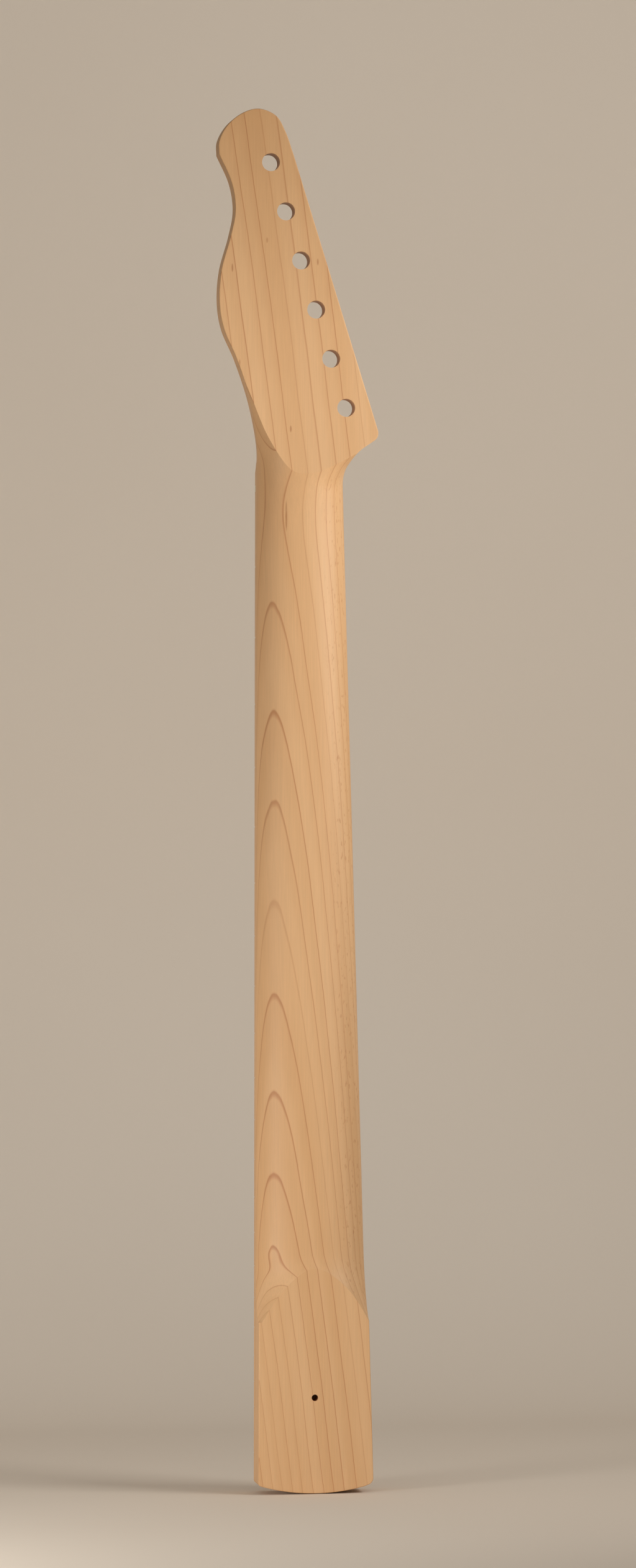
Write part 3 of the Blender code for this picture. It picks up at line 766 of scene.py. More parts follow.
# Shared effects
@dataclass(frozen=True)
class MapleFigure:
    """Growth rings, fibres and rays of maple, in one group for every maple piece.

    The rings are thin dark lines in the solid wood, so that a flat face shows straight
    lines and a carved one arches, as the saw and the spokeshave uncover them. Ranges
    are where a smooth step starts and ends, and scales are changes per metre.
    """

    name: str = "maple_figure"
    pale: Colour = linear(220, 177, 131)
    warm: Colour = linear(212, 166, 118)
    line: Colour = linear(176, 112, 66)
    ring_spacing: float = 0.0029
    ring_direction: Point3 = (0.56, 0.83, 0.065)
    beside_direction: Point3 = (-0.83, 0.56, 0.0)
    ring_curve: float = 1.6
    wave_scale: Point3 = (14.0, 14.0, 5.0)
    wave_size: float = 0.0022
    ripple_scale: Point3 = (130.0, 130.0, 16.0)
    ripple_size: float = 0.0005
    widening: float = 0.037
    uneven_rate: float = 0.8
    uneven_size: float = 0.40
    faintest_line: float = 0.35
    line_rise: Point2 = (0.885, 0.965)
    line_fall: Point2 = (0.995, 0.97)
    line_share: float = 0.60
    late_wood_rise: Point2 = (0.35, 1.0)
    late_wood_share: float = 0.10
    band_rate: float = 0.55
    band_range: Point2 = (0.32, 0.68)
    band_share: float = 0.6
    band_cut: float = 0.3
    cloud_scale: Point3 = (22.0, 22.0, 7.0)
    fibre_scale: Point3 = (1500.0, 1500.0, 45.0)
    fibre_roughness: float = 0.6
    fibre_shade: Point2 = (0.16, 0.92)
    ray_facing: Point2 = (0.72, 0.95)
    ray_scale: Point3 = (900.0, 900.0, 330.0)
    ray_range: Point2 = (0.60, 0.72)
    ray_strength: float = 0.35
    sanded_roughness: Point2 = (0.10, 0.46)
    line_depth: float = 0.4

    def group(self) -> bpy.types.NodeTree:
        """Finds the group, or builds it the first time.

        Returns:
            The group, with inputs for the rings and for the wood's colours.
        """
        if self.name in bpy.data.node_groups:
            return bpy.data.node_groups[self.name]
        inputs = {
            "Across": self.ring_direction,
            "Shift": 0.0,
            "Spacing": self.ring_spacing,
            "Line Strength": 1.0,
            "Pale": self.pale,
            "Warm": self.warm,
            "Line": self.line,
        }
        group, shade, given = effect_group(self.name, inputs)
        place = shade.place()
        ring = self.ring_number(shade, place, given)
        line = self.lines(shade, ring, given["Line Strength"])
        fibre = shade.noise(place, self.fibre_scale, 2.0, self.fibre_roughness)

        body = shade.mix(self.bands(shade, place, ring), given["Pale"], given["Warm"])
        lined = shade.mix(line, body, given["Line"])
        tinted = shade.node("ShaderNodeVectorMath", operation="SCALE")
        shade.put(tinted.inputs["Vector"], lined)
        fibre_tint = shade.math("MULTIPLY_ADD", fibre, *self.fibre_shade)
        shade.put(tinted.inputs["Scale"], fibre_tint)
        rays = self.rays(shade, place)

        out = shade.node("NodeGroupOutput").inputs
        shade.put(out["Color"], shade.mix(rays, tinted.outputs[0], given["Line"]))
        rough = shade.math("MULTIPLY_ADD", fibre, *self.sanded_roughness)
        shade.put(out["Roughness"], rough)
        sunk = shade.product(line, self.line_depth)
        shade.put(out["Height"], shade.math("SUBTRACT", fibre, sunk))
        return group

    def ring_number(self, shade: Shade, place: object, given: object) -> object:
        """Counts the rings up to each point of the wood.

        Args:
            shade: Helper for the tree.
            place: The point.
            given: The group's inputs.

        Returns:
            The number, whose fraction says how far into its ring the point lies.
        """
        across = shade.vector("DOT_PRODUCT", place, given["Across"])
        beside = shade.vector("DOT_PRODUCT", place, self.beside_direction)
        bend = shade.product(shade.product(beside, beside), self.ring_curve)
        depth = shade.math("ADD", shade.math("ADD", across, given["Shift"]), bend)
        for scale, size in (
            (self.wave_scale, self.wave_size),
            (self.ripple_scale, self.ripple_size),
        ):
            swing = shade.math("SUBTRACT", shade.noise(place, scale), 0.5)
            depth = shade.math("ADD", depth, shade.product(swing, size))
        widened = shade.product(depth, self.widening)
        grown = shade.math("DIVIDE", widened, given["Spacing"])
        grown = shade.math("LOGARITHM", shade.math("ADD", grown, 1.0), math.e)
        ring = shade.math("DIVIDE", grown, self.widening)
        uneven = shade.math("SUBTRACT", shade.noise_1d(ring, self.uneven_rate), 0.5)
        return shade.math("ADD", ring, shade.product(uneven, self.uneven_size))

    def lines(self, shade: Shade, ring: object, overall: object) -> object:
        """Darkens the end of each ring, each by its own luck.

        Args:
            shade: Helper for the tree.
            ring: The ring number.
            overall: Strength of all the lines.

        Returns:
            How dark the line is, from 0 to 1.
        """
        inside = shade.math("FRACT", ring)
        luck = shade.node("ShaderNodeTexWhiteNoise", noise_dimensions="1D")
        middle = shade.math("ADD", shade.math("FLOOR", ring), 0.5)
        shade.put(luck.inputs["W"], middle)
        spread = 1.0 - self.faintest_line
        strength = shade.math(
            "MULTIPLY_ADD", luck.outputs["Value"], spread, self.faintest_line
        )
        rise = shade.ramp(inside, *self.line_rise)
        line = shade.product(rise, shade.ramp(inside, *self.line_fall))
        late = shade.ramp(inside, *self.late_wood_rise)
        late = shade.product(late, self.late_wood_share)
        line = shade.math("ADD", shade.product(line, self.line_share), late)
        line = shade.product(line, strength)
        return shade.math("MULTIPLY", line, overall, clamp=True)

    def bands(self, shade: Shade, place: object, ring: object) -> object:
        """Broad pale and warm bands that follow the rings, with clouds over them.

        Args:
            shade: Helper for the tree.
            place: The point.
            ring: The ring number.

        Returns:
            0 for pale wood, 1 for warm.
        """
        band = shade.ramp(shade.noise_1d(ring, self.band_rate), *self.band_range)
        cloud = shade.noise(place, self.cloud_scale, 3.0)
        band = shade.math("ADD", shade.product(band, self.band_share), cloud)
        return shade.math("SUBTRACT", band, self.band_cut, clamp=True)

    def rays(self, shade: Shade, place: object) -> object:
        """Specks where the surface meets the rings squarely.

        Args:
            shade: Helper for the tree.
            place: The point.

        Returns:
            Strength of the speck.
        """
        normal = shade.node("ShaderNodeNewGeometry").outputs["Normal"]
        facing = shade.vector("DOT_PRODUCT", normal, self.beside_direction)
        square = shade.ramp(shade.math("ABSOLUTE", facing), *self.ray_facing)
        speck = shade.ramp(shade.noise(place, self.ray_scale, 1.0), *self.ray_range)
        return shade.product(shade.product(speck, square), self.ray_strength)


@dataclass(frozen=True)
class MetalWear:
    """Fine brushing and dulled patches, in one group for every metal piece."""

    name: str = "metal_wear"
    bright: Colour = (0.6, 0.6, 0.6, 1.0)
    dull: Colour = (0.3, 0.3, 0.3, 1.0)
    grain: Point3 = (200.0, 200.0, 200.0)
    least_roughness: float = 0.22
    patch_scale: float = 180.0
    patch_range: Point2 = (0.45, 0.75)
    patch_strength: float = 0.6
    brushed_roughness: float = 0.16
    patch_roughness: float = 0.12

    def group(self) -> bpy.types.NodeTree:
        """Finds the group, or builds it the first time.

        Returns:
            The group, with inputs for colours, brushing and roughness.
        """
        if self.name in bpy.data.node_groups:
            return bpy.data.node_groups[self.name]
        inputs = {
            "Bright": self.bright,
            "Dull": self.dull,
            "Grain": self.grain,
            "Least Roughness": self.least_roughness,
        }
        group, shade, given = effect_group(self.name, inputs)
        place = shade.place()
        brushing = shade.vector("MULTIPLY", place, given["Grain"])
        lines = shade.noise(brushing, 1.0, 3.0)
        patch = shade.noise(place, self.patch_scale, 3.0)
        patch = shade.ramp(patch, *self.patch_range)
        factor = shade.product(patch, self.patch_strength)
        rough = shade.math(
            "MULTIPLY_ADD", lines, self.brushed_roughness, given["Least Roughness"]
        )
        rough = shade.math("MULTIPLY_ADD", patch, self.patch_roughness, rough)
        out = shade.node("NodeGroupOutput").inputs
        shade.put(out["Color"], shade.mix(factor, given["Bright"], given["Dull"]))
        shade.put(out["Roughness"], rough)
        shade.put(out["Height"], lines)
        return group


# Finishes
class Finish:
    """What all finishes share: a material, its tree and its Principled BSDF."""

    def __init__(self, name: str) -> None:
        """Makes the material.

        Args:
            name: Its name.
        """
        self.material = bpy.data.materials.new(name)
        self.material.use_nodes = True
        self.shade = Shade(self.material.node_tree)
        self.shader = self.material.node_tree.nodes["Principled BSDF"]

    def surface(self, colour: object, rough: object) -> None:
        """Feeds the colour and the roughness."""
        self.shade.put(self.shader.inputs["Base Color"], colour)
        self.shade.put(self.shader.inputs["Roughness"], rough)

    def bump(self, height: object, distance: float) -> None:
        """Feeds a height to the shader's normal.

        Args:
            height: The height, from 0 to 1.
            distance: How high 1 stands, in metres.
        """
        made = self.shade.node("ShaderNodeBump")
        made.inputs["Strength"].default_value = 1.0
        made.inputs["Distance"].default_value = distance
        self.shade.put(made.inputs["Height"], height)
        self.shade.put(self.shader.inputs["Normal"], made.outputs[0])

    def effect(
        self, group: bpy.types.NodeTree, values: dict[str, object], distance: float
    ) -> object:
        """Places a shared effect and feeds its roughness and height.

        Args:
            group: The effect.
            values: Its inputs by name.
            distance: How high its height stands, in metres.

        Returns:
            Its colour.
        """
        made = self.shade.node("ShaderNodeGroup", node_tree=group)
        for name, value in values.items():
            made.inputs[name].default_value = value
        self.shade.put(self.shader.inputs["Roughness"], made.outputs["Roughness"])
        self.bump(made.outputs["Height"], distance)
        return made.outputs["Color"]


@dataclass(frozen=True)
class MineralMark:
    """A small dark streak that the tree left in the wood."""

    x: float
    z: float
    width: float
    length: float
    strength: float


@dataclass(frozen=True)
class MapleFinish:
    """Bare maple, sanded and unsealed."""

    name: str
    shift: float
    spacing: float
    line_strength: float
    specular: float
    # Painted shade: the wood darkens between two heights towards the headstock's tip,
    # where the light falls off, with its tint, strength and cloud
    painted_shade_heights: Point2 | None = None
    painted_shade_tint: Point3 = (0.62, 0.56, 0.46)
    painted_shade_strength: float = 0.792
    painted_shade_cloud: float = 0.03
    painted_shade_cloud_scale: float = 25.0
    marks: tuple[MineralMark, ...] = ()
    mark_colour: Colour = linear(158, 96, 52)
    mark_edge: Point2 = (1.0, 0.1)
    mark_depth: Point2 = (0.012, 0.009)
    mark_scale: Point3 = (500.0, 500.0, 120.0)
    mark_break: Point2 = (0.2, 0.6)
    fibre_height: float = 0.00003

    def material(self) -> bpy.types.Material:
        """Builds the material.

        Returns:
            The material.
        """
        finish = Finish(self.name)
        values = {
            "Shift": self.shift,
            "Spacing": self.spacing,
            "Line Strength": self.line_strength,
        }
        colour = finish.effect(MapleFigure().group(), values, self.fibre_height)
        if self.marks:
            mask = self.mark_mask(finish.shade)
            colour = finish.shade.mix(mask, colour, self.mark_colour)
        # Painted shade, darker towards the headstock's tip
        if self.painted_shade_heights is not None:
            colour = self.age(finish.shade, colour)
        finish.shade.put(finish.shader.inputs["Base Color"], colour)
        finish.shader.inputs["Specular IOR Level"].default_value = self.specular
        return finish.material

    def age(self, shade: Shade, colour: object) -> object:
        """Paints shade where the light falls off: darkens the wood between two heights,
        towards the headstock's tip.

        Args:
            shade: Helper for the tree.
            colour: The wood's colour.

        Returns:
            The darkened colour.
        """
        place = shade.place()
        cloud = shade.noise(place, self.painted_shade_cloud_scale)
        height = shade.math(
            "MULTIPLY_ADD", cloud, self.painted_shade_cloud, shade.split(place)["Z"]
        )
        depth = shade.product(shade.ramp(height, *self.painted_shade_heights), self.painted_shade_strength)
        dark = shade.vector("MULTIPLY", colour, self.painted_shade_tint)
        return shade.mix(depth, colour, dark)

    def mark_mask(self, shade: Shade) -> object:
        """Lays the mineral marks over the back of the wood.

        Args:
            shade: Helper for the tree.

        Returns:
            Strength of the marks.
        """
        place = shade.place()
        x, y, z = shade.split(place)
        total: object = 0.0
        for mark in self.marks:
            far: object = 0.0
            for along, middle, size in (
                (x, mark.x, mark.width),
                (z, mark.z, mark.length),
            ):
                off = shade.math("SUBTRACT", along, middle)
                off = shade.math("DIVIDE", off, size / 2)
                far = shade.math("ADD", far, shade.product(off, off))
            near = shade.product(shade.ramp(far, *self.mark_edge), mark.strength)
            total = shade.math("ADD", total, near)
        total = shade.product(total, shade.ramp(y, *self.mark_depth))
        broken = shade.ramp(shade.noise(place, self.mark_scale), *self.mark_break)
        return shade.math("MULTIPLY", total, broken, clamp=True)


@dataclass(frozen=True)
class MetalFinish:
    """Bare metal with fine brushing."""

    name: str
    bright: Point3
    dull: Point3
    grain: Point3
    roughness: float
    brush_height: float = 0.000004

    def material(self) -> bpy.types.Material:
        """Builds the material.

        Returns:
            The material.
        """
        finish = Finish(self.name)
        values = {
            "Bright": (*self.bright, 1.0),
            "Dull": (*self.dull, 1.0),
            "Grain": self.grain,
            "Least Roughness": self.roughness,
        }
        colour = finish.effect(MetalWear().group(), values, self.brush_height)
        finish.shade.put(finish.shader.inputs["Base Color"], colour)
        finish.shader.inputs["Metallic"].default_value = 1.0
        return finish.material


@dataclass(frozen=True)
class StreakedFinish:
    """A smooth solid with fine streaks in two tones, such as bone or plastic."""

    name: str
    first: Colour
    second: Colour
    scale: Point3
    detail: float
    tone_range: Point2 | None
    roughness: Point2
    streak_height: float

    def material(self) -> bpy.types.Material:
        """Builds the material.

        Returns:
            The material.
        """
        finish = Finish(self.name)
        shade = finish.shade
        streak = shade.noise(shade.place(), self.scale, self.detail)
        tone = streak
        if self.tone_range is not None:
            tone = shade.ramp(streak, *self.tone_range)
        rough = shade.math("MULTIPLY_ADD", streak, *self.roughness)
        finish.surface(shade.mix(tone, self.first, self.second), rough)
        finish.bump(streak, self.streak_height)
        return finish.material


NECK_MAPLE = MapleFinish(
    "bare_maple",
    shift=0.0,
    spacing=0.0029,
    line_strength=1.0,
    specular=0.32,
    # Painted shade between these heights, darker towards the headstock's tip
    painted_shade_heights=(0.49, 0.67),
    marks=(
        MineralMark(-0.0330, 0.5540, 0.0011, 0.0050, 0.55),
        MineralMark(-0.0160, 0.5672, 0.0012, 0.0034, 0.45),
        MineralMark(0.0085, 0.5565, 0.0011, 0.0040, 0.50),
        MineralMark(-0.0300, 0.5080, 0.0010, 0.0044, 0.45),
        MineralMark(-0.0057, 0.4760, 0.0012, 0.0040, 0.55),
        MineralMark(-0.0080, 0.4340, 0.0012, 0.0170, 0.65),
    ),
)
BOARD_MAPLE = MapleFinish(
    "bare_maple_board", shift=0.0113, spacing=0.0024, line_strength=0.8, specular=0.35
)
NICKEL_SILVER = MetalFinish(
    "nickel_silver", (0.74, 0.72, 0.67), (0.55, 0.53, 0.48), (60.0, 900.0, 900.0), 0.20
)
PLAIN_STEEL = MetalFinish(
    "plain_steel", (0.52, 0.52, 0.53), (0.30, 0.30, 0.31), (900.0, 900.0, 120.0), 0.28
)
BRASS = MetalFinish(
    "brass", (0.74, 0.52, 0.22), (0.50, 0.34, 0.13), (500.0, 500.0, 900.0), 0.26
)
POLISHED_BONE = StreakedFinish(
    "polished_bone",
    first=linear(238, 230, 208),
    second=linear(222, 208, 176),
    scale=(260.0, 700.0, 1300.0),
    detail=3.0,
    tone_range=(0.35, 0.75),
    roughness=(0.20, 0.24),
    streak_height=0.00001,
)
BLACK_PLASTIC = StreakedFinish(
    "sanded_black_plastic",
    first=linear(20, 20, 21),
    second=linear(40, 39, 38),
    scale=(4000.0, 4000.0, 120.0),
    detail=2.0,
    tone_range=None,
    roughness=(0.25, 0.32),
    streak_height=0.000006,
)


def dress(obj: bpy.types.Object, material: bpy.types.Material) -> None:
    """Gives an object one material."""
    obj.data.materials.clear()
    obj.data.materials.append(material)


def settle(
    obj: bpy.types.Object, body: Body, replaced: tuple[str, ...]
) -> None:
    """Joins a finished piece to the frame.

    Args:
        obj: The piece.
        body: The CAD body that it rides on.
        replaced: The CAD nodes that it stands for.
    """
    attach(obj, body.value)
    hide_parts(*replaced)
    LOG.info("%s: %d faces", obj.name, len(obj.data.polygons))


# Maple neck
@dataclass
class MapleNeck:
    """The maple: heel, carved shaft and headstock, in one piece."""

    heel_bow: float = 0.0042
    heel_corner_treble: float = 0.0016
    heel_corner_bass: float = 0.0036
    depth_at_fret_1: float = 0.0216
    depth_at_fret_12: float = 0.0239
    edge_ease: float = 0.0004
    back_squareness: float = 2.2
    side_wall_margin: float = 0.00015
    heel_flat_length: float = 0.1084
    heel_scoop_radius: float = 0.035
    heel_side_margin: float = 0.0020
    heel_treble_squareness: float = 1.8
    heel_bass_squareness: float = 2.1
    heel_square_run: float = 0.012
    rise_below_nut: float = 0.0314
    rise_length: float = 0.0970
    rise_depth: float = 0.0396
    rise_power: float = 2.6
    treble_flare: Point3 = (0.009, 0.022, 0.0021)
    bass_flare: Point3 = (0.010, 0.010, 0.0026)
    bass_squareness: float = 7.2
    bass_square_run: float = 0.020
    tuner_hole: float = 0.0087
    tuner_to_edge: float = 0.0116
    shoulder_slope: float = math.radians(33)
    shoulder_below_tuner: float = 0.0182
    shoulder_corner: float = 0.0045
    neck_corner: float = 0.020
    treble_edge_start: float = 0.0084
    locating_hole: float = 0.0032
    locating_hole_depth: float = 0.012
    locating_hole_above_seat: float = 0.0081
    channel_width: float = 0.0064
    channel_depth: float = 0.0098
    channel_end_above_seat: float = 0.0183
    access_width: float = 0.0090
    access_floor: float = 0.00835
    access_length: float = 0.040
    outline_steps: int = 14
    table_steps: int = 8
    heel_steps: int = 40
    heel_corner_steps: int = 8
    shoulder_steps: int = 16
    slot_end_steps: int = 32
    section_steps: int = 120
    scoop_rounds: int = 8
    scoop_station_degrees: tuple[int, ...] = tuple(range(78, -1, -2))
    shaft_stations: int = 40
    rise_stations: int = 24
    head_stations: int = 90
    tuner_sides: int = 96
    locating_sides: int = 48
    treble_anchors: tuple[Point3, ...] = (
        (1, 0.0033, 0.0446),
        (2, -0.0055, 0.0434),
        (3, -0.0112, 0.04395),
        (3, 0.0046, 0.0456),
        (4, -0.0076, 0.04385),
        (4, 0.0069, 0.0383),
        (5, -0.0032, 0.0290),
        (5, 0.0079, 0.0233),
        (6, -0.0041, 0.02125),
        (6, 0.0110, 0.0230),
    )
    tip_anchors: tuple[Point3, ...] = (
        (6, 0.0110, 0.0230),
        (6, 0.0171, 0.0210),
        (6, 0.0235, 0.0144),
        (6, 0.0268, 0.0055),
        (6, 0.0263, -0.0022),
        (6, 0.0207, -0.0090),
        (6, 0.0122, -0.0111),
        (6, -0.0002, -0.0116),
    )

    def __post_init__(self) -> None:
        """Works out the places that many methods ask for."""
        self.scoop_start = self.find_scoop_start()
        self.rise_start = PLAN.nut_z - self.rise_below_nut
        treble = smooth_through(self.treble_edge(), self.table_steps)
        self.treble_table = sorted((z, -x) for x, z in treble)
        beyond = PLAN.by_tuner(PLAN.tuner_count, 0.0, -self.tuner_to_edge)
        bass = [(z, x) for x, z in self.bass_edge()]
        start = (PLAN.nut_z, PLAN.half_width(PLAN.nut_z))
        self.bass_table = sorted([start, *bass, (beyond.y, beyond.x)])

    def build(self) -> bpy.types.Object:
        """Drills and slots the blank, cuts its front down and carves its back.

        Returns:
            The neck.
        """
        low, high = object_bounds()
        blank_front = PLAN.board_top_y + PLAN.past
        blank = plan_prism("neck", self.outline(), 0.0, blank_front, self.edge_ease)
        carve = loft_mesh("carve", [self.section(z) for z in self.stations()])
        steps = [
            ("DIFFERENCE", self.tuner_drills(blank_front)),
            ("DIFFERENCE", self.locating_drill()),
            ("DIFFERENCE", self.rod_channel()),
            ("DIFFERENCE", self.access_slot()),
            ("DIFFERENCE", self.front_cut()),
            ("DIFFERENCE", carve),
        ]
        obj = carved("maple_neck", blank, steps)
        keep_inside(obj, low, high)
        dress(obj, NECK_MAPLE.material())
        settle(obj, Body.NECK, ("neck",))
        return obj

    def shaft_depth(self, z: float) -> float:
        """Depth of the maple along the straight shaft.

        Args:
            z: The height.

        Returns:
            The depth.
        """
        first, twelfth = PLAN.fret_z(1), PLAN.fret_z(12)
        share = max((z - first) / (twelfth - first), 0.0)
        gain = (self.depth_at_fret_12 - self.depth_at_fret_1) * share
        return self.depth_at_fret_1 + gain - PLAN.board_depth

    def find_scoop_start(self) -> float:
        """Where the heel's scoop leaves the shaft, to end at the top of the flat.

        Returns:
            The height.
        """
        flat_top = PLAN.end_z + self.heel_flat_length
        start = flat_top
        for _ in range(self.scoop_rounds):
            left = self.heel_scoop_radius - (PLAN.blank_depth - self.shaft_depth(start))
            start = flat_top + math.sqrt(self.heel_scoop_radius**2 - left**2)
        return start

    def shoulder_corners(self) -> tuple[Vector, Vector]:
        """The headstock's bass corner, and where its lower edge meets the neck.

        Returns:
            Both points, as x and z.
        """
        slope = Vector((math.cos(self.shoulder_slope), math.sin(self.shoulder_slope)))
        edge = PLAN.by_tuner(1, -self.shoulder_below_tuner, -self.tuner_to_edge)
        reach = (edge.x - PLAN.half_width(edge.y)) / slope.x
        low = edge - slope * reach
        low.x = PLAN.half_width(low.y)
        return edge, low

    def treble_edge(self) -> list[Point2]:
        """Anchors of the treble side, from the board's end up to the tip.

        Returns:
            The anchors, as x and z.
        """
        heights = (PLAN.nut_z, PLAN.shelf_z, PLAN.shelf_z + self.treble_edge_start)
        shaft = [(-PLAN.half_width(z), z) for z in heights]
        return shaft + [tuple(PLAN.by_tuner(*at)) for at in self.treble_anchors]

    def bass_edge(self) -> list[Point2]:
        """The bass side from the neck up round the shoulder.

        Returns:
            Its points, as x and z.
        """
        corner, low = self.shoulder_corners()
        below = (PLAN.half_width(PLAN.nut_z), PLAN.nut_z)
        above = PLAN.by_tuner(PLAN.tuner_count, 0.0, -self.tuner_to_edge)
        steps = self.shoulder_steps
        run = fillet(below, low, corner, self.neck_corner, steps)
        return run + fillet(low, corner, above, self.shoulder_corner, steps)

    def heel_end(self) -> list[Point2]:
        """The heel's bowed end, from the treble side to the bass side.

        Returns:
            Its points, as x and z.
        """
        corner_z = PLAN.end_z + self.heel_bow
        half = PLAN.half_width(corner_z)
        radius = (half * half + self.heel_bow**2) / (2 * self.heel_bow)
        centre_z = PLAN.end_z + radius

        def bow_z(x: float) -> float:
            """Height of the bow at a distance from the centre line."""
            return centre_z - math.sqrt(radius**2 - x * x)

        corners = []
        for side, rounding in (
            (Side.TREBLE, self.heel_corner_treble),
            (Side.BASS, self.heel_corner_bass),
        ):
            sign = side.value
            up_z = corner_z + PLAN.past
            up = (sign * PLAN.half_width(up_z), up_z)
            x = sign * (half - 4 * rounding)
            corner, along = (sign * half, corner_z), (x, bow_z(x))
            arc = fillet(up, corner, along, rounding, self.heel_corner_steps)
            corners.append(arc if side is Side.TREBLE else arc[::-1])
        left, right = corners[0][-1][0], corners[1][0][0]
        across = np.linspace(left, right, self.heel_steps + 1)[1:-1]
        return corners[0] + [(float(x), bow_z(x)) for x in across] + corners[1]

    def outline(self) -> list[Point2]:
        """The whole neck in plan, up the bass side and back down.

        Returns:
            Its corners, as x and z.
        """
        tip = [tuple(PLAN.by_tuner(*at)) for at in self.tip_anchors]
        up = self.bass_edge() + [tip[-1]]
        up += smooth_through(tip, self.outline_steps)[::-1]
        down = smooth_through(self.treble_edge(), self.outline_steps)[::-1]
        return self.heel_end() + up + down

    def reach(self, z: float, side: Side) -> float:
        """How far the outline reaches at a height, to one side.

        Args:
            z: The height.
            side: The side.

        Returns:
            The distance from the centre line.
        """
        if z <= PLAN.nut_z:
            return PLAN.half_width(z)
        table = self.treble_table if side is Side.TREBLE else self.bass_table
        return float(np.interp(z, [at[0] for at in table], [at[1] for at in table]))

    def carve_margin(self, z: float, side: Side) -> float:
        """How far the carved curve's width passes the outline.

        Args:
            z: The height.
            side: The side.

        Returns:
            The distance.
        """
        low = max(0.0, self.scoop_start - z) / self.heel_scoop_radius
        above, run, margin = (
            self.treble_flare if side is Side.TREBLE else self.bass_flare
        )
        flare = margin * ease(z, PLAN.nut_z + above, run)
        return self.side_wall_margin + self.heel_side_margin * low * low + flare

    def carve_depth(self, z: float) -> float:
        """Depth of the carved curve at the centre line, from the board's joint.

        Args:
            z: The height.

        Returns:
            The depth.
        """
        depth = self.shaft_depth(max(z, self.scoop_start))
        if z < self.scoop_start:
            drop = min(self.scoop_start - z, self.heel_scoop_radius)
            depth += self.heel_scoop_radius
            depth -= math.sqrt(self.heel_scoop_radius**2 - drop * drop)
        if z > self.rise_start:
            climb = (z - self.rise_start) / self.rise_length
            depth += self.rise_depth * climb**self.rise_power
        return depth

    def squareness(self, z: float, side: Side) -> float:
        """How square the carved curve is: 2 is an ellipse, and more is squarer.

        Args:
            z: The height.
            side: The side.

        Returns:
            The power of the curve.
        """
        treble = side is Side.TREBLE
        heel = self.heel_treble_squareness if treble else self.heel_bass_squareness
        low = ease(self.scoop_start - z, 0.0, self.heel_square_run)
        shaft = self.back_squareness + (heel - self.back_squareness) * low
        if treble:
            return shaft
        share = min(max((z - PLAN.nut_z) / self.bass_square_run, 0.0), 1.0)
        return shaft + (self.bass_squareness - self.back_squareness) * share * share

    def section(self, z: float) -> list[Point3]:
        """One closed section of what the carving takes away.

        Args:
            z: The height.

        Returns:
            Its points.
        """
        joint, wide = PLAN.blank_depth, PLAN.wide
        points = [(-wide, joint, z)]
        for step in range(self.section_steps + 1):
            angle = math.pi * (step / self.section_steps - 0.5)
            side = Side.TREBLE if angle < 0 else Side.BASS
            power = 2.0 / self.squareness(z, side)
            width = self.reach(z, side) + self.carve_margin(z, side)
            x = side.value * width * abs(math.sin(angle)) ** power
            drop = self.carve_depth(z) * max(math.cos(angle), 0.0) ** power
            points.append((x, joint - drop, z))
        return [*points, (wide, joint, z), (wide, -wide, z), (-wide, -wide, z)]

    def stations(self) -> list[float]:
        """Heights of the carved sections.

        Returns:
            The heights, from the heel up.
        """
        scoop, start = self.heel_scoop_radius, self.scoop_start
        heights = [
            start - scoop * math.sin(math.radians(angle))
            for angle in self.scoop_station_degrees
        ]
        top = self.rise_start + self.rise_length
        for low, high, count in (
            (start, self.rise_start, self.shaft_stations),
            (self.rise_start, PLAN.nut_z, self.rise_stations),
            (PLAN.nut_z, top, self.head_stations),
        ):
            heights += list(np.linspace(low, high, count)[1:])
        return heights

    def tuner_drills(self, depth: float) -> bpy.types.Mesh:
        """Six drills through the headstock.

        Args:
            depth: Depth of the blank.

        Returns:
            The cutter.
        """
        drills = []
        for number in range(1, PLAN.tuner_count + 1):
            x, z = PLAN.by_tuner(number, 0.0, 0.0)
            drills.append(((x, depth / 2, z), depth + PLAN.past))
        return bar_mesh("drills", drills, self.tuner_hole, self.tuner_sides, (0, 1, 0))

    def locating_drill(self) -> bpy.types.Mesh:
        """The drill of the small hole in the heel.

        Returns:
            The cutter.
        """
        middle = (
            0.0,
            self.locating_hole_depth - PLAN.past,
            self.locating_hole_above_seat,
        )
        bars, sides = [(middle, 2 * PLAN.past)], self.locating_sides
        return bar_mesh("drill", bars, self.locating_hole, sides, (0, 1, 0))

    def rod_channel(self) -> bpy.types.Mesh:
        """The channel for the truss rod.

        Returns:
            The cutter.
        """
        half = self.channel_width / 2
        floor = PLAN.blank_depth - self.channel_depth
        low = (-half, floor, self.channel_end_above_seat)
        return box_mesh("channel", low, (half, PLAN.front_y, PLAN.shelf_z))

    def access_slot(self) -> bpy.types.Mesh:
        """The slot behind the nut that lets the key in to the rod.

        Returns:
            The cutter.
        """
        radius = self.access_width / 2
        end_z = PLAN.nut_z + self.access_length - radius
        arc = [
            (radius * math.cos(angle), end_z + radius * math.sin(angle))
            for angle in np.linspace(0.0, math.pi, self.slot_end_steps + 1)
        ]
        outline = [(radius, PLAN.nut_z), *arc, (-radius, PLAN.nut_z)]
        return plan_prism("slot", outline, self.access_floor, PLAN.front_y)

    def front_cut(self) -> bpy.types.Mesh:
        """Clears the front: the joint, the scoop and the headstock's face.

        Returns:
            The cutter.
        """
        low, high = PLAN.end_z - PLAN.past, PLAN.beyond_tip_z
        face = PLAN.headstock_depth
        outline = [(low, PLAN.blank_depth), *face_scoop(PLAN.blank_depth)]
        outline += [(high, face), (high, PLAN.front_y), (low, PLAN.front_y)]
        return side_prism("front_cut", outline, PLAN.wide)


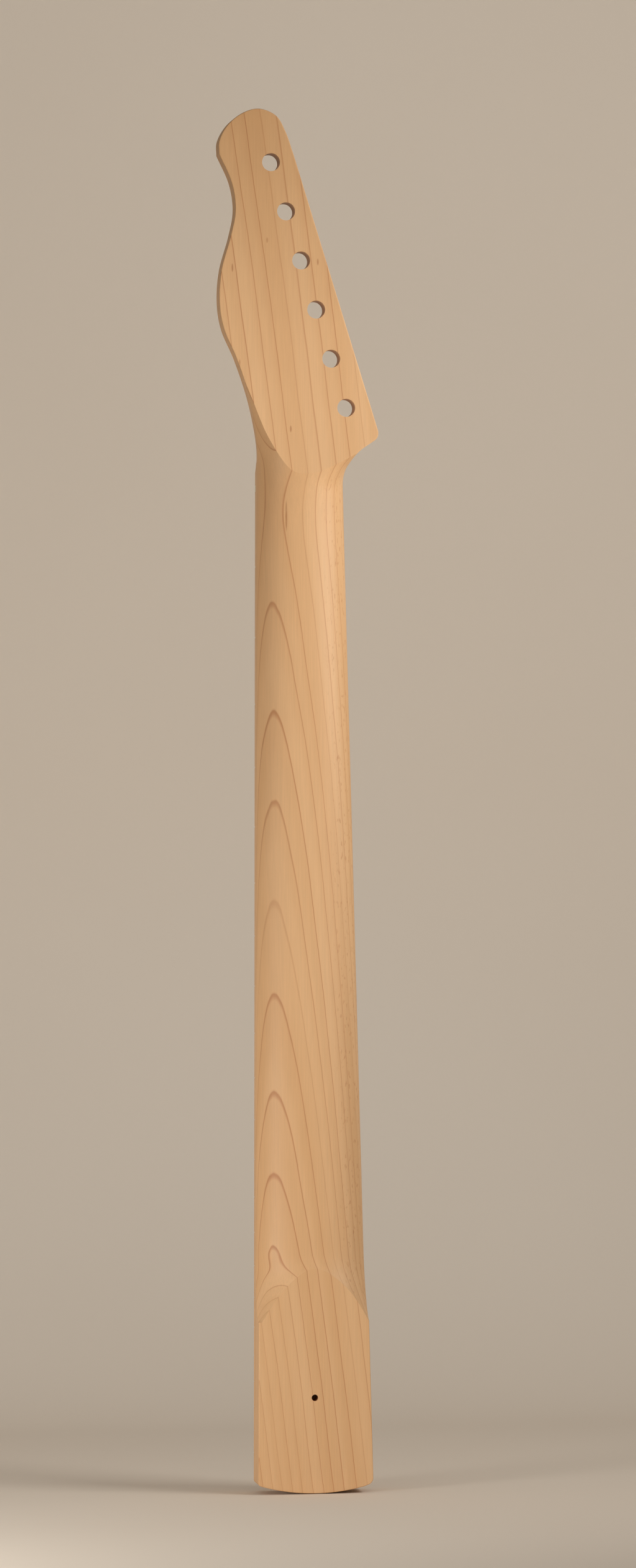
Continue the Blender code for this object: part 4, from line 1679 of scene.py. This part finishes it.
def face_scoop(start_y: float, steps: int = 40) -> list[Point2]:
    """Points of z and y down the scoop, from a height to the headstock's face.

    Args:
        start_y: The depth that it starts from.
        steps: How many parts it has.

    Returns:
        The points.
    """
    radius = PLAN.face_scoop_radius
    centre_y = PLAN.headstock_depth + radius
    widest = math.acos((centre_y - PLAN.board_top_y) / radius)
    centre_z = PLAN.shelf_z + radius * math.sin(widest)
    start = math.acos((centre_y - start_y) / radius)
    points = []
    for step in range(steps + 1):
        angle = start * (1.0 - step / steps)
        points.append(
            (centre_z - radius * math.sin(angle), centre_y - radius * math.cos(angle))
        )
    return points


# Fretboard
@dataclass
class Fretboard:
    """The maple board: radiused, slotted, and drilled for its dots."""

    slot_width: float = 0.0006
    slot_depth: float = 0.0019
    dot_depth: float = 0.0018
    face_dot: float = 0.00635
    side_dot: float = 0.0021
    side_dot_length: float = 0.003
    face_dot_sides: int = 64
    side_dot_sides: int = 32
    arch_half_angle: float = 0.2
    arch_steps: int = 160

    def build(self, neck: MapleNeck, dots: "PositionDots") -> bpy.types.Object:
        """Builds the board.

        Args:
            neck: Gives the outline that the board's sides are flush with.
            dots: Gives the places of the dots.

        Returns:
            The board.
        """
        low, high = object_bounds()
        top = PLAN.shelf_z + PLAN.past
        half = PLAN.half_width(top)
        outline = neck.heel_end() + [(half, top), (-half, top)]
        back = PLAN.blank_depth + PLAN.glue_line
        blank = plan_prism("board", outline, back, PLAN.front_y)
        steps = [
            ("INTERSECT", self.round_top()),
            ("DIFFERENCE", self.end_cut()),
            ("DIFFERENCE", self.fret_saw()),
            ("DIFFERENCE", self.nut_slot()),
            ("DIFFERENCE", self.face_drills(dots)),
            ("DIFFERENCE", self.side_drills(dots)),
        ]
        obj = carved("maple_fretboard", blank, steps)
        keep_inside(obj, low, high)
        dress(obj, BOARD_MAPLE.material())
        settle(obj, Body.NECK, ("fretboard",))
        return obj

    def round_top(self) -> bpy.types.Mesh:
        """The arched top, as a loft along the board.

        Returns:
            What the board keeps.
        """
        points, half = [], self.arch_half_angle
        for angle in np.linspace(-half, half, self.arch_steps + 1):
            x = PLAN.board_radius * math.sin(angle)
            points.append((x, PLAN.radius_axis_y + PLAN.board_radius * math.cos(angle)))
        points += [(points[-1][0], 0.0), (points[0][0], 0.0)]
        ends = (PLAN.end_z - PLAN.past, PLAN.shelf_z + 3 * PLAN.past)
        return loft_mesh("round_top", [[(x, y, z) for x, y in points] for z in ends])

    def end_cut(self) -> bpy.types.Mesh:
        """Scoops the board's end with the headstock's face.

        Returns:
            The cutter.
        """
        high = PLAN.beyond_tip_z
        outline = [(PLAN.shelf_z, PLAN.front_y), *face_scoop(PLAN.board_top_y)]
        outline += [(high, PLAN.headstock_depth), (high, PLAN.front_y)]
        return side_prism("end_cut", outline, PLAN.wide)

    def fret_saw(self) -> bpy.types.Mesh:
        """All the fret slots.

        Returns:
            The cutter.
        """
        floor = PLAN.board_surface(PLAN.heel_width / 2) - self.slot_depth
        bm = bmesh.new()
        for number in range(1, PLAN.fret_count + 1):
            made = bmesh.ops.create_cube(bm, size=1.0)["verts"]
            size = (2 * PLAN.wide, PLAN.front_y - floor, self.slot_width)
            middle = (0.0, (PLAN.front_y + floor) / 2, PLAN.fret_z(number))
            bmesh.ops.scale(bm, vec=size, verts=made)
            bmesh.ops.translate(bm, vec=middle, verts=made)
        return mesh_from(bm, "fret_saw")

    def nut_slot(self) -> bpy.types.Mesh:
        """The slot that the nut stands in.

        Returns:
            The cutter.
        """
        floor = PLAN.board_top_y - PLAN.nut_slot_depth
        low = (-PLAN.wide, floor, PLAN.nut_z)
        high = (PLAN.wide, PLAN.front_y, PLAN.nut_z + PLAN.nut_thickness)
        return box_mesh("nut_slot", low, high)

    def face_drills(self, dots: "PositionDots") -> bpy.types.Mesh:
        """Drills for the dots on the face.

        Args:
            dots: Gives their places.

        Returns:
            The cutter.
        """
        y = PLAN.board_top_y - self.dot_depth + PLAN.past / 2
        bars = [((x, y, z), PLAN.past) for x, z in dots.face_places()]
        sides = self.face_dot_sides
        return bar_mesh("face_drills", bars, self.face_dot, sides, (0, 1, 0))

    def side_drills(self, dots: "PositionDots") -> bpy.types.Mesh:
        """Drills for the dots on the bass side.

        Args:
            dots: Gives their heights.

        Returns:
            The cutter.
        """
        shift = PLAN.past / 2 - self.side_dot_length
        bars = [
            ((PLAN.half_width(z) + shift, dots.side_y(), z), PLAN.past)
            for z in dots.side_places()
        ]
        sides = self.side_dot_sides
        return bar_mesh("side_drills", bars, self.side_dot, sides, (1, 0, 0))


# Geometry node trees
class Grow(Shade):
    """Short ways to lay nodes in a geometry tree."""

    def __init__(self, name: str) -> None:
        """Makes the tree, with a geometry input and output.

        Args:
            name: The tree's name.
        """
        tree = bpy.data.node_groups.new(name, "GeometryNodeTree")
        super().__init__(tree)
        for way in ("INPUT", "OUTPUT"):
            tree.interface.new_socket(
                name="Geometry", in_out=way, socket_type="NodeSocketGeometry"
            )
        self.names: dict[str, float] = {}

    def size(self, name: str, value: float) -> None:
        """Declares a named size, before begin is called.

        Args:
            name: Its name.
            value: Its value, whole for a count.
        """
        kind = "NodeSocketInt" if isinstance(value, int) else "NodeSocketFloat"
        self.tree.interface.new_socket(name=name, in_out="INPUT", socket_type=kind)
        self.names[name] = value

    def begin(self) -> bpy.types.bpy_prop_collection:
        """Places the group's input and returns its outputs by name."""
        return self.node("NodeGroupInput").outputs

    def end(self, geometry: object, material: bpy.types.Material) -> None:
        """Closes the tree with Realize Instances and Set Material.

        Args:
            geometry: What has been built.
            material: What it is made of.
        """
        real = self.node("GeometryNodeRealizeInstances")
        self.put(real.inputs[0], geometry)
        painted = self.node("GeometryNodeSetMaterial")
        painted.inputs["Material"].default_value = material
        self.put(painted.inputs["Geometry"], real.outputs[0])
        self.put(self.node("NodeGroupOutput").inputs[0], painted.outputs[0])

    def xyz(self, x: object, y: object, z: object) -> object:
        """Joins three numbers into a vector."""
        return self.fed(self.node("ShaderNodeCombineXYZ"), x, y, z).outputs[0]

    def apply(self, obj: bpy.types.Object) -> None:
        """Runs the tree on an object and keeps the result as a plain mesh.

        Args:
            obj: The object.
        """
        modifier = obj.modifiers.new(self.tree.name, "NODES")
        modifier.node_group = self.tree
        for item in self.tree.interface.items_tree:
            if item.item_type == "SOCKET" and item.name in self.names:
                modifier[item.identifier] = self.names[item.name]
        bake_modifiers(obj)


@dataclass
class Frets:
    """Fret wire: straight wire set out on the scale, then bent to the board."""

    width: float = 0.0024
    height: float = 0.0012
    side_height: float = 0.00025
    tang_width: float = 0.0005
    tang_depth: float = 0.0016
    seat_gap: float = 0.0001
    end_slope: float = math.radians(35)
    end_inset: float = 0.0001
    profile_steps: int = 12
    lengthwise: int = 26

    def wire(self) -> bpy.types.Mesh:
        """One straight fret, 1 m long at its foot, lying on the height y = 0.

        Returns:
            The mesh.
        """
        half_tang, half_crown = self.tang_width / 2, self.width / 2
        side = self.seat_gap + self.side_height
        dome = self.height - self.side_height
        profile = [(-half_tang, -self.tang_depth), (half_tang, -self.tang_depth)]
        profile += [(half_tang, self.seat_gap), (half_crown, self.seat_gap)]
        for step in range(self.profile_steps + 1):
            angle = math.pi * step / self.profile_steps
            profile.append(
                (half_crown * math.cos(angle), side + dome * math.sin(angle))
            )
        profile += [(-half_crown, self.seat_gap), (-half_tang, self.seat_gap)]
        sections = []
        for step in range(self.lengthwise + 1):
            share = step / self.lengthwise - 0.5
            sections.append([(share, y, z) for z, y in profile])
        mesh = loft_mesh("fret_wire", sections)
        smooth_by_angle(mesh, WIRE_ANGLE)
        return mesh

    def build(self) -> bpy.types.Object:
        """Sets out, widens, dresses and bends the frets in one tree.

        Returns:
            The frets.
        """
        wire = new_mesh_object("fret_wire", self.wire())
        grow = Grow("fretting")
        for name, value in (
            ("Frets", PLAN.fret_count),
            ("Scale Length", PLAN.scale_length),
            ("Nut Height", PLAN.nut_z),
            ("Nut Width", PLAN.nut_width - 2 * self.end_inset),
            ("Taper", (PLAN.heel_width - PLAN.nut_width) / (PLAN.nut_z - PLAN.end_z)),
            ("Board Radius", PLAN.board_radius),
            ("Radius Axis", PLAN.radius_axis_y),
            ("End Slope", math.tan(self.end_slope)),
        ):
            grow.size(name, value)
        given = grow.begin()
        points = grow.node("GeometryNodePoints")
        grow.put(points.inputs["Count"], given["Frets"])
        number = grow.math("ADD", grow.node("GeometryNodeInputIndex").outputs[0], 1.0)
        octaves = grow.math("DIVIDE", number, -FRETS_PER_OCTAVE)
        gone = grow.math("SUBTRACT", 1.0, grow.math("POWER", 2.0, octaves))
        run = grow.product(given["Scale Length"], gone)
        height = grow.math("SUBTRACT", given["Nut Height"], run)
        grow.put(points.inputs["Position"], grow.xyz(0.0, 0.0, height))
        width = grow.math("MULTIPLY_ADD", run, given["Taper"], given["Nut Width"])
        store = grow.node("GeometryNodeInstanceOnPoints")
        info = grow.node("GeometryNodeObjectInfo")
        info.inputs["Object"].default_value = wire
        grow.put(store.inputs["Points"], points.outputs[0])
        grow.put(store.inputs["Instance"], info.outputs["Geometry"])
        grow.put(store.inputs["Scale"], grow.xyz(width, 1.0, 1.0))
        real = grow.node("GeometryNodeRealizeInstances")
        grow.put(real.inputs[0], store.outputs[0])
        bent = self.bend(grow, given, real.outputs[0])
        grow.end(bent, NICKEL_SILVER.material())
        obj = new_mesh_object("frets", bpy.data.meshes.new("frets"))
        grow.apply(obj)
        bpy.data.objects.remove(wire, do_unlink=True)
        names = tuple(f"fret_{n:02d}" for n in range(1, PLAN.fret_count + 1))
        settle(obj, Body.NECK, names)
        return obj

    def bend(self, grow: Grow, given: object, wires: object) -> object:
        """Slopes the ends of straight wires and bends them to the board's radius.

        Args:
            grow: The tree that is built.
            given: The tree's named sizes.
            wires: The straight wires.

        Returns:
            The bent wires.
        """
        x, y, z = grow.split(grow.node("GeometryNodeInputPosition").outputs[0])
        up = grow.math("MAXIMUM", y, 0.0)
        low = grow.product(up, given["End Slope"])
        down = grow.math("SUBTRACT", given["Nut Height"], z)
        foot = grow.math("MULTIPLY_ADD", down, given["Taper"], given["Nut Width"])
        half = grow.product(foot, 0.5)
        keep = grow.math("DIVIDE", grow.math("SUBTRACT", half, low), half)
        across = grow.product(x, keep)
        radius = grow.math("ADD", given["Board Radius"], y)
        rest = grow.product(radius, radius)
        rest = grow.math("SUBTRACT", rest, grow.product(across, across))
        lifted = grow.math("ADD", given["Radius Axis"], grow.math("SQRT", rest))
        place = grow.node("GeometryNodeSetPosition")
        grow.put(place.inputs["Geometry"], wires)
        grow.put(place.inputs["Position"], grow.xyz(across, lifted, z))
        return place.outputs[0]


@dataclass
class PositionDots:
    """Black plastic dots, in the face and the bass side of the board."""

    frets: tuple[int, ...] = (3, 5, 7, 9, 12, 15, 17, 19, 21)
    octave: int = 12
    octave_spread: float = 0.022
    octave_side_spread: float = 0.010
    side_above_joint: float = 0.0024
    face_diameter: float = 0.00625
    side_diameter: float = 0.0020
    depth: float = 0.0017
    disc_sides: int = 64

    def between(self, number: int) -> float:
        """Height of the middle between a fret and the one above it."""
        return (PLAN.fret_z(number) + PLAN.fret_z(number - 1)) / 2

    def side_y(self) -> float:
        """Depth at which the side dots lie."""
        return PLAN.blank_depth + self.side_above_joint

    def face_places(self) -> list[Point2]:
        """Places of the face dots, as x and z.

        Returns:
            The places, from the nut down.
        """
        places = []
        for number in self.frets:
            half = self.octave_spread / 2
            across = (-half, half) if number == self.octave else (0.0,)
            places += [(x, self.between(number)) for x in across]
        return places

    def side_places(self) -> list[float]:
        """Heights of the side dots.

        Returns:
            The heights, from the nut down.
        """
        places = []
        for number in self.frets:
            half = self.octave_side_spread / 2
            shifts = (-half, half) if number == self.octave else (0.0,)
            places += [self.between(number) + shift for shift in shifts]
        return places

    def nodes(self, kind: str, pair: tuple[str, str]) -> tuple[str, ...]:
        """Names the CAD nodes that a set of dots stands for.

        Args:
            kind: Face or side, as the nodes' names begin.
            pair: How the names of the two dots at the octave end.

        Returns:
            The names, in the order of the dots.
        """
        names = []
        for number in self.frets:
            name = f"{kind}_dot_{number:02d}"
            twice = number == self.octave
            names += [f"{name}_{ending}" for ending in pair] if twice else [name]
        return tuple(names)

    def build(self) -> list[bpy.types.Object]:
        """Builds both sets of dots.

        Returns:
            The dots in the face, and those in the side.
        """
        material = BLACK_PLASTIC.material()
        face_points = [
            (x, PLAN.board_surface(x) - self.depth / 2, z)
            for x, z in self.face_places()
        ]
        side_points = [
            (PLAN.half_width(z) - self.depth / 2, self.side_y(), z)
            for z in self.side_places()
        ]
        quarter = math.pi / 2
        front, sideways = (quarter, 0.0, 0.0), (0.0, quarter, 0.0)
        made = []
        for kind, points, diameter, turn, pair in (
            ("face", face_points, self.face_diameter, front, ("treble", "bass")),
            ("side", side_points, self.side_diameter, sideways, ("lower", "upper")),
        ):
            obj = self.discs(f"{kind}_dots", points, diameter, turn, material)
            settle(obj, Body.NECK, self.nodes(kind, pair))
            made.append(obj)
        return made

    def discs(
        self,
        name: str,
        points: list[Point3],
        diameter: float,
        turn: Point3,
        material: bpy.types.Material,
    ) -> bpy.types.Object:
        """Sets a disc on each point, flush with the board.

        Args:
            name: The finished object's name.
            points: Middle of each disc.
            diameter: Their diameter.
            turn: How an upright disc is turned, round X, Y and Z.
            material: What they are made of.

        Returns:
            The discs as one object.
        """
        mesh = bpy.data.meshes.new(name)
        mesh.from_pydata(points, [], [])
        obj = new_mesh_object(name, mesh)
        grow = Grow(name)
        grow.size("Diameter", diameter)
        grow.size("Depth", self.depth)
        given = grow.begin()
        disc = grow.node("GeometryNodeMeshCylinder")
        disc.inputs["Vertices"].default_value = self.disc_sides
        grow.put(disc.inputs["Radius"], grow.product(given["Diameter"], 0.5))
        grow.put(disc.inputs["Depth"], given["Depth"])
        store = grow.node("GeometryNodeInstanceOnPoints")
        grow.put(store.inputs["Points"], given["Geometry"])
        grow.put(store.inputs["Instance"], disc.outputs["Mesh"])
        store.inputs["Rotation"].default_value = turn
        grow.end(store.outputs[0], material)
        grow.apply(obj)
        # The cylinder node leaves an empty material slot beside the filled one
        dress(obj, material)
        smooth_by_angle(obj.data, WIRE_ANGLE)
        return obj


# Nut
@dataclass
class BoneNut:
    """The nut: bone, rounded over and filed for six strings."""

    above_board: float = 0.0027
    clearance: float = 0.00005
    end_inset: float = 0.0001
    spread: float = 0.0352
    grooves: tuple[float, ...] = (0.00118, 0.00096, 0.00074, 0.0005, 0.0004, 0.00034)
    groove_depth: float = 0.0009
    groove_room: float = 0.001
    groove_sides: int = 24
    past_slot: float = 0.0002
    flat_run: float = 0.0012
    ease_drop: float = 0.0008
    top_steps: int = 12
    arch_half_angle: float = 0.15
    arch_steps: int = 60

    def build(self) -> bpy.types.Object:
        """Builds the nut.

        Returns:
            The nut.
        """
        gap = self.clearance
        low_z, high_z = PLAN.nut_z + gap, PLAN.nut_z + PLAN.nut_thickness - gap
        floor = PLAN.board_top_y - PLAN.nut_slot_depth + gap
        block = box_mesh(
            "nut", (-PLAN.wide, floor, low_z), (PLAN.wide, PLAN.front_y, high_z)
        )
        steps = [
            ("INTERSECT", self.arched_top()),
            ("INTERSECT", self.ends()),
            ("DIFFERENCE", self.files()),
        ]
        obj = carved("bone_nut", block, steps)
        dress(obj, POLISHED_BONE.material())
        settle(obj, Body.NECK, ("nut",))
        return obj

    def arched_top(self) -> bpy.types.Mesh:
        """The nut's top, parallel to the board and eased towards the headstock.

        Returns:
            What the nut keeps.
        """
        sections, half = [], self.arch_half_angle
        length = PLAN.nut_thickness + 2 * self.past_slot
        eased = PLAN.nut_thickness - self.flat_run
        for step in range(self.top_steps + 1):
            z = PLAN.nut_z - self.past_slot + length * step / self.top_steps
            late = max(0.0, z - PLAN.nut_z - self.flat_run) / eased
            drop = self.ease_drop * late * late
            reach = PLAN.board_radius + self.above_board - drop
            points = []
            for angle in np.linspace(-half, half, self.arch_steps + 1):
                x, y = reach * math.sin(angle), reach * math.cos(angle)
                points.append((x, PLAN.radius_axis_y + y, z))
            points += [(points[-1][0], 0.0, z), (points[0][0], 0.0, z)]
            sections.append(points)
        return loft_mesh("nut_top", sections)

    def ends(self) -> bpy.types.Mesh:
        """The nut's width, which follows the neck's taper.

        Returns:
            What the nut keeps.
        """
        below, above = PLAN.nut_z - PLAN.past, PLAN.nut_z + PLAN.past
        outline = [(PLAN.half_width(z) - self.end_inset, z) for z in (below, above)]
        outline += [(-x, z) for x, z in reversed(outline)]
        return plan_prism("nut_ends", outline, PLAN.blank_depth, PLAN.front_y)

    def files(self) -> bpy.types.Mesh:
        """Round-bottomed string grooves, wide for the low strings.

        Returns:
            The cutter.
        """
        reach = PLAN.board_radius + self.above_board
        bm = bmesh.new()
        for number, width in enumerate(self.grooves):
            x = self.spread * (0.5 - number / (len(self.grooves) - 1))
            top = PLAN.radius_axis_y + math.sqrt(reach**2 - x * x)
            made = bmesh.ops.create_cone(
                bm,
                cap_ends=True,
                segments=self.groove_sides,
                radius1=width / 2,
                radius2=width / 2,
                depth=4 * PLAN.nut_thickness,
            )["verts"]
            floor = top - self.groove_depth
            for vert in made:
                vert.co.y = vert.co.y + floor + width / 2
                if vert.co.y > floor + width / 2:
                    vert.co.y = top + self.groove_room
                vert.co.x += x
                vert.co.z += PLAN.nut_z
        return mesh_from(bm, "files")


# Truss rod
@dataclass
class TrussRod:
    """The rod, its adjuster, and the bar and blocks that it works against."""

    rod_y: float = 0.01235
    adjuster_low: float = PLAN.nut_z + 0.0006
    adjuster_length: float = 0.014
    adjuster_diameter: float = 0.007
    chamfer: float = 0.0005
    key_flats: float = 0.004
    key_depth: float = 0.008
    barrel_sides: int = 64

    def build(self, frame: dict) -> None:
        """Dresses the hidden pieces and makes a finer adjuster.
        """
        steel, brass = PLAIN_STEEL.material(), BRASS.material()
        for name, material in (
            ("truss_rod", steel),
            ("truss_flat_bar", steel),
            ("truss_front_block", brass),
            ("truss_rear_block", brass),
        ):
            dress(frame["nodes"][name], material)
        obj = self.adjuster()
        dress(obj, steel)
        settle(obj, Body.ROD, ("truss_adjuster",))

    def adjuster(self) -> bpy.types.Object:
        """The adjuster: a chamfered barrel with a hex socket.

        Returns:
            The adjuster.
        """
        radius, low = self.adjuster_diameter / 2, self.adjuster_low
        high, cut = low + self.adjuster_length, self.chamfer
        rings = [
            (radius - cut, low),
            (radius, low + cut),
            (radius, high - cut),
            (radius - cut, high),
        ]
        angles = np.linspace(0.0, 2 * math.pi, self.barrel_sides, endpoint=False)
        sections = [
            [(far * math.cos(a), self.rod_y + far * math.sin(a), z) for a in angles]
            for far, z in rings
        ]
        corners = self.key_flats / math.cos(math.pi / HEX_SIDES)
        socket_bar = [((0.0, self.rod_y, high), 2 * self.key_depth)]
        key = bar_mesh("key", socket_bar, corners, HEX_SIDES, (0, 0, 1))
        barrel = loft_mesh("truss_adjuster", sections)
        return carved("truss_adjuster_barrel", barrel, [("DIFFERENCE", key)])


# Camera, lights and floor
@dataclass(frozen=True)
class Lamp:
    """A soft square lamp, turned to what it aims at."""

    name: str
    place: Point3
    aim: Point3
    size: float
    power: float
    tint: Point3 = (1.0, 0.99, 0.97)

    def hang(self) -> None:
        """Adds the lamp to the scene."""
        data = bpy.data.lights.new(self.name, "AREA")
        data.shape = "SQUARE"
        data.size = self.size
        data.energy = self.power
        data.color = self.tint
        obj = bpy.data.objects.new(self.name, data)
        obj.location = self.place
        away = Vector(self.aim) - Vector(self.place)
        obj.rotation_euler = away.to_track_quat("-Z", "Y").to_euler()
        bpy.context.scene.collection.objects.link(obj)


@dataclass
class Studio:
    """A pale floor that sweeps up into a backdrop, soft lamps and the camera."""

    camera_at: Point3 = (-0.41739, -4.0, 0.31294)
    yaw: float = math.radians(-6.0323)
    pitch: float = math.radians(-0.1209)
    roll: float = math.radians(0.7401)
    focal_px: float = 13409.5
    image_height: int = 2524
    sensor: float = 36.0
    view_end: float = 50.0
    floor_gap: float = 0.0003
    floor_reach: float = 6.0
    wall_y: float = 0.75
    wall_top: float = 4.0
    sweep: float = 0.35
    sweep_steps: int = 24
    paper: tuple[Colour, Colour] = (linear(229, 217, 202), linear(224, 211, 195))
    paper_cloud_scale: float = 3.0
    paper_roughness: float = 0.9
    paper_specular: float = 0.1
    room_light: Colour = (0.36, 0.355, 0.346, 1.0)
    room_seen: Colour = linear(190, 174, 155)
    lamps: tuple[Lamp, ...] = (
        Lamp("key", (0.54, -0.42, 0.57), (0.0, 0.0, 0.86), size=0.35, power=5.2),
        Lamp("fill", (-0.50, -0.40, 0.06), (0.0, 0.0, -0.34), size=0.16, power=2.1),
    )

    def build(self) -> None:
        """Builds the whole set."""
        self.camera()
        self.backdrop()
        for lamp in self.lamps:
            lamp.hang()
        self.room()
        view = bpy.context.scene.view_settings
        view.view_transform = "Standard"

    def camera(self) -> None:
        """The camera, where the photograph was taken from."""
        data = bpy.data.cameras.new("camera")
        data.sensor_fit = "AUTO"
        data.sensor_width = self.sensor
        data.lens = self.focal_px * self.sensor / self.image_height
        data.clip_end = self.view_end
        turn = (
            Matrix.Rotation(self.yaw, 3, "Z")
            @ Matrix.Rotation(self.pitch, 3, "X")
            @ Matrix.Rotation(self.roll, 3, "Y")
        )
        right, forward, up = turn.col
        columns = Matrix((right, up, -forward)).transposed()
        obj = bpy.data.objects.new("camera", data)
        obj.matrix_world = Matrix.Translation(self.camera_at) @ columns.to_4x4()
        bpy.context.scene.collection.objects.link(obj)
        bpy.context.scene.camera = obj

    def backdrop(self) -> None:
        """The floor, curved up into the backdrop, in one sheet."""
        floor_z = PLAN.end_z - self.floor_gap
        reach = self.floor_reach
        line = [(-reach, floor_z)]
        for angle in np.linspace(0.0, math.pi / 2, self.sweep_steps + 1):
            y = self.wall_y - self.sweep + self.sweep * math.sin(angle)
            line.append((y, floor_z + self.sweep * (1 - math.cos(angle))))
        line.append((self.wall_y, self.wall_top))
        points = [(x, y, z) for x in (-reach, reach) for y, z in line]
        count = len(line)
        faces = [(i, i + count, i + count + 1, i + 1) for i in range(count - 1)]
        mesh = bpy.data.meshes.new("backdrop")
        mesh.from_pydata(points, [], faces)
        mesh.shade_smooth()
        obj = new_mesh_object("backdrop", mesh)
        dress(obj, self.paper_material())
        obj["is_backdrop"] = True

    def paper_material(self) -> bpy.types.Material:
        """Pale paper, clear from behind so that it never hides the neck.

        Returns:
            The material.
        """
        finish = Finish("pale_paper")
        shade = finish.shade
        cloud = shade.noise(shade.place(), self.paper_cloud_scale)
        finish.surface(shade.mix(cloud, *self.paper), self.paper_roughness)
        specular = finish.shader.inputs["Specular IOR Level"]
        specular.default_value = self.paper_specular
        behind = shade.node("ShaderNodeNewGeometry").outputs["Backfacing"]
        clear = shade.node("ShaderNodeBsdfTransparent").outputs[0]
        both = shade.node("ShaderNodeMixShader")
        shade.fed(both, behind, finish.shader.outputs[0], clear)
        output = finish.material.node_tree.nodes["Material Output"]
        shade.put(output.inputs["Surface"], both.outputs[0])
        return finish.material

    def room(self) -> None:
        """The even light of the room, which the camera sees in the paper's tone."""
        world = bpy.data.worlds.new("room")
        world.use_nodes = True
        ground = world.node_tree.nodes["Background"]
        shade = Shade(world.node_tree)
        seen = shade.node("ShaderNodeLightPath").outputs["Is Camera Ray"]
        colour = shade.mix(seen, self.room_light, self.room_seen)
        shade.put(ground.inputs["Color"], colour)
        ground.inputs["Strength"].default_value = 1.0
        bpy.context.scene.world = world


def main() -> None:
    logging.basicConfig(level=logging.INFO, format="%(message)s")
    for old in list(bpy.data.objects):
        bpy.data.objects.remove(old, do_unlink=True)
    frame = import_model()
    neck = MapleNeck()
    dots = PositionDots()
    neck.build()
    Fretboard().build(neck, dots)
    Frets().build()
    dots.build()
    BoneNut().build()
    TrussRod().build(frame)
    Studio().build()


if __name__ == "__main__":
    main()
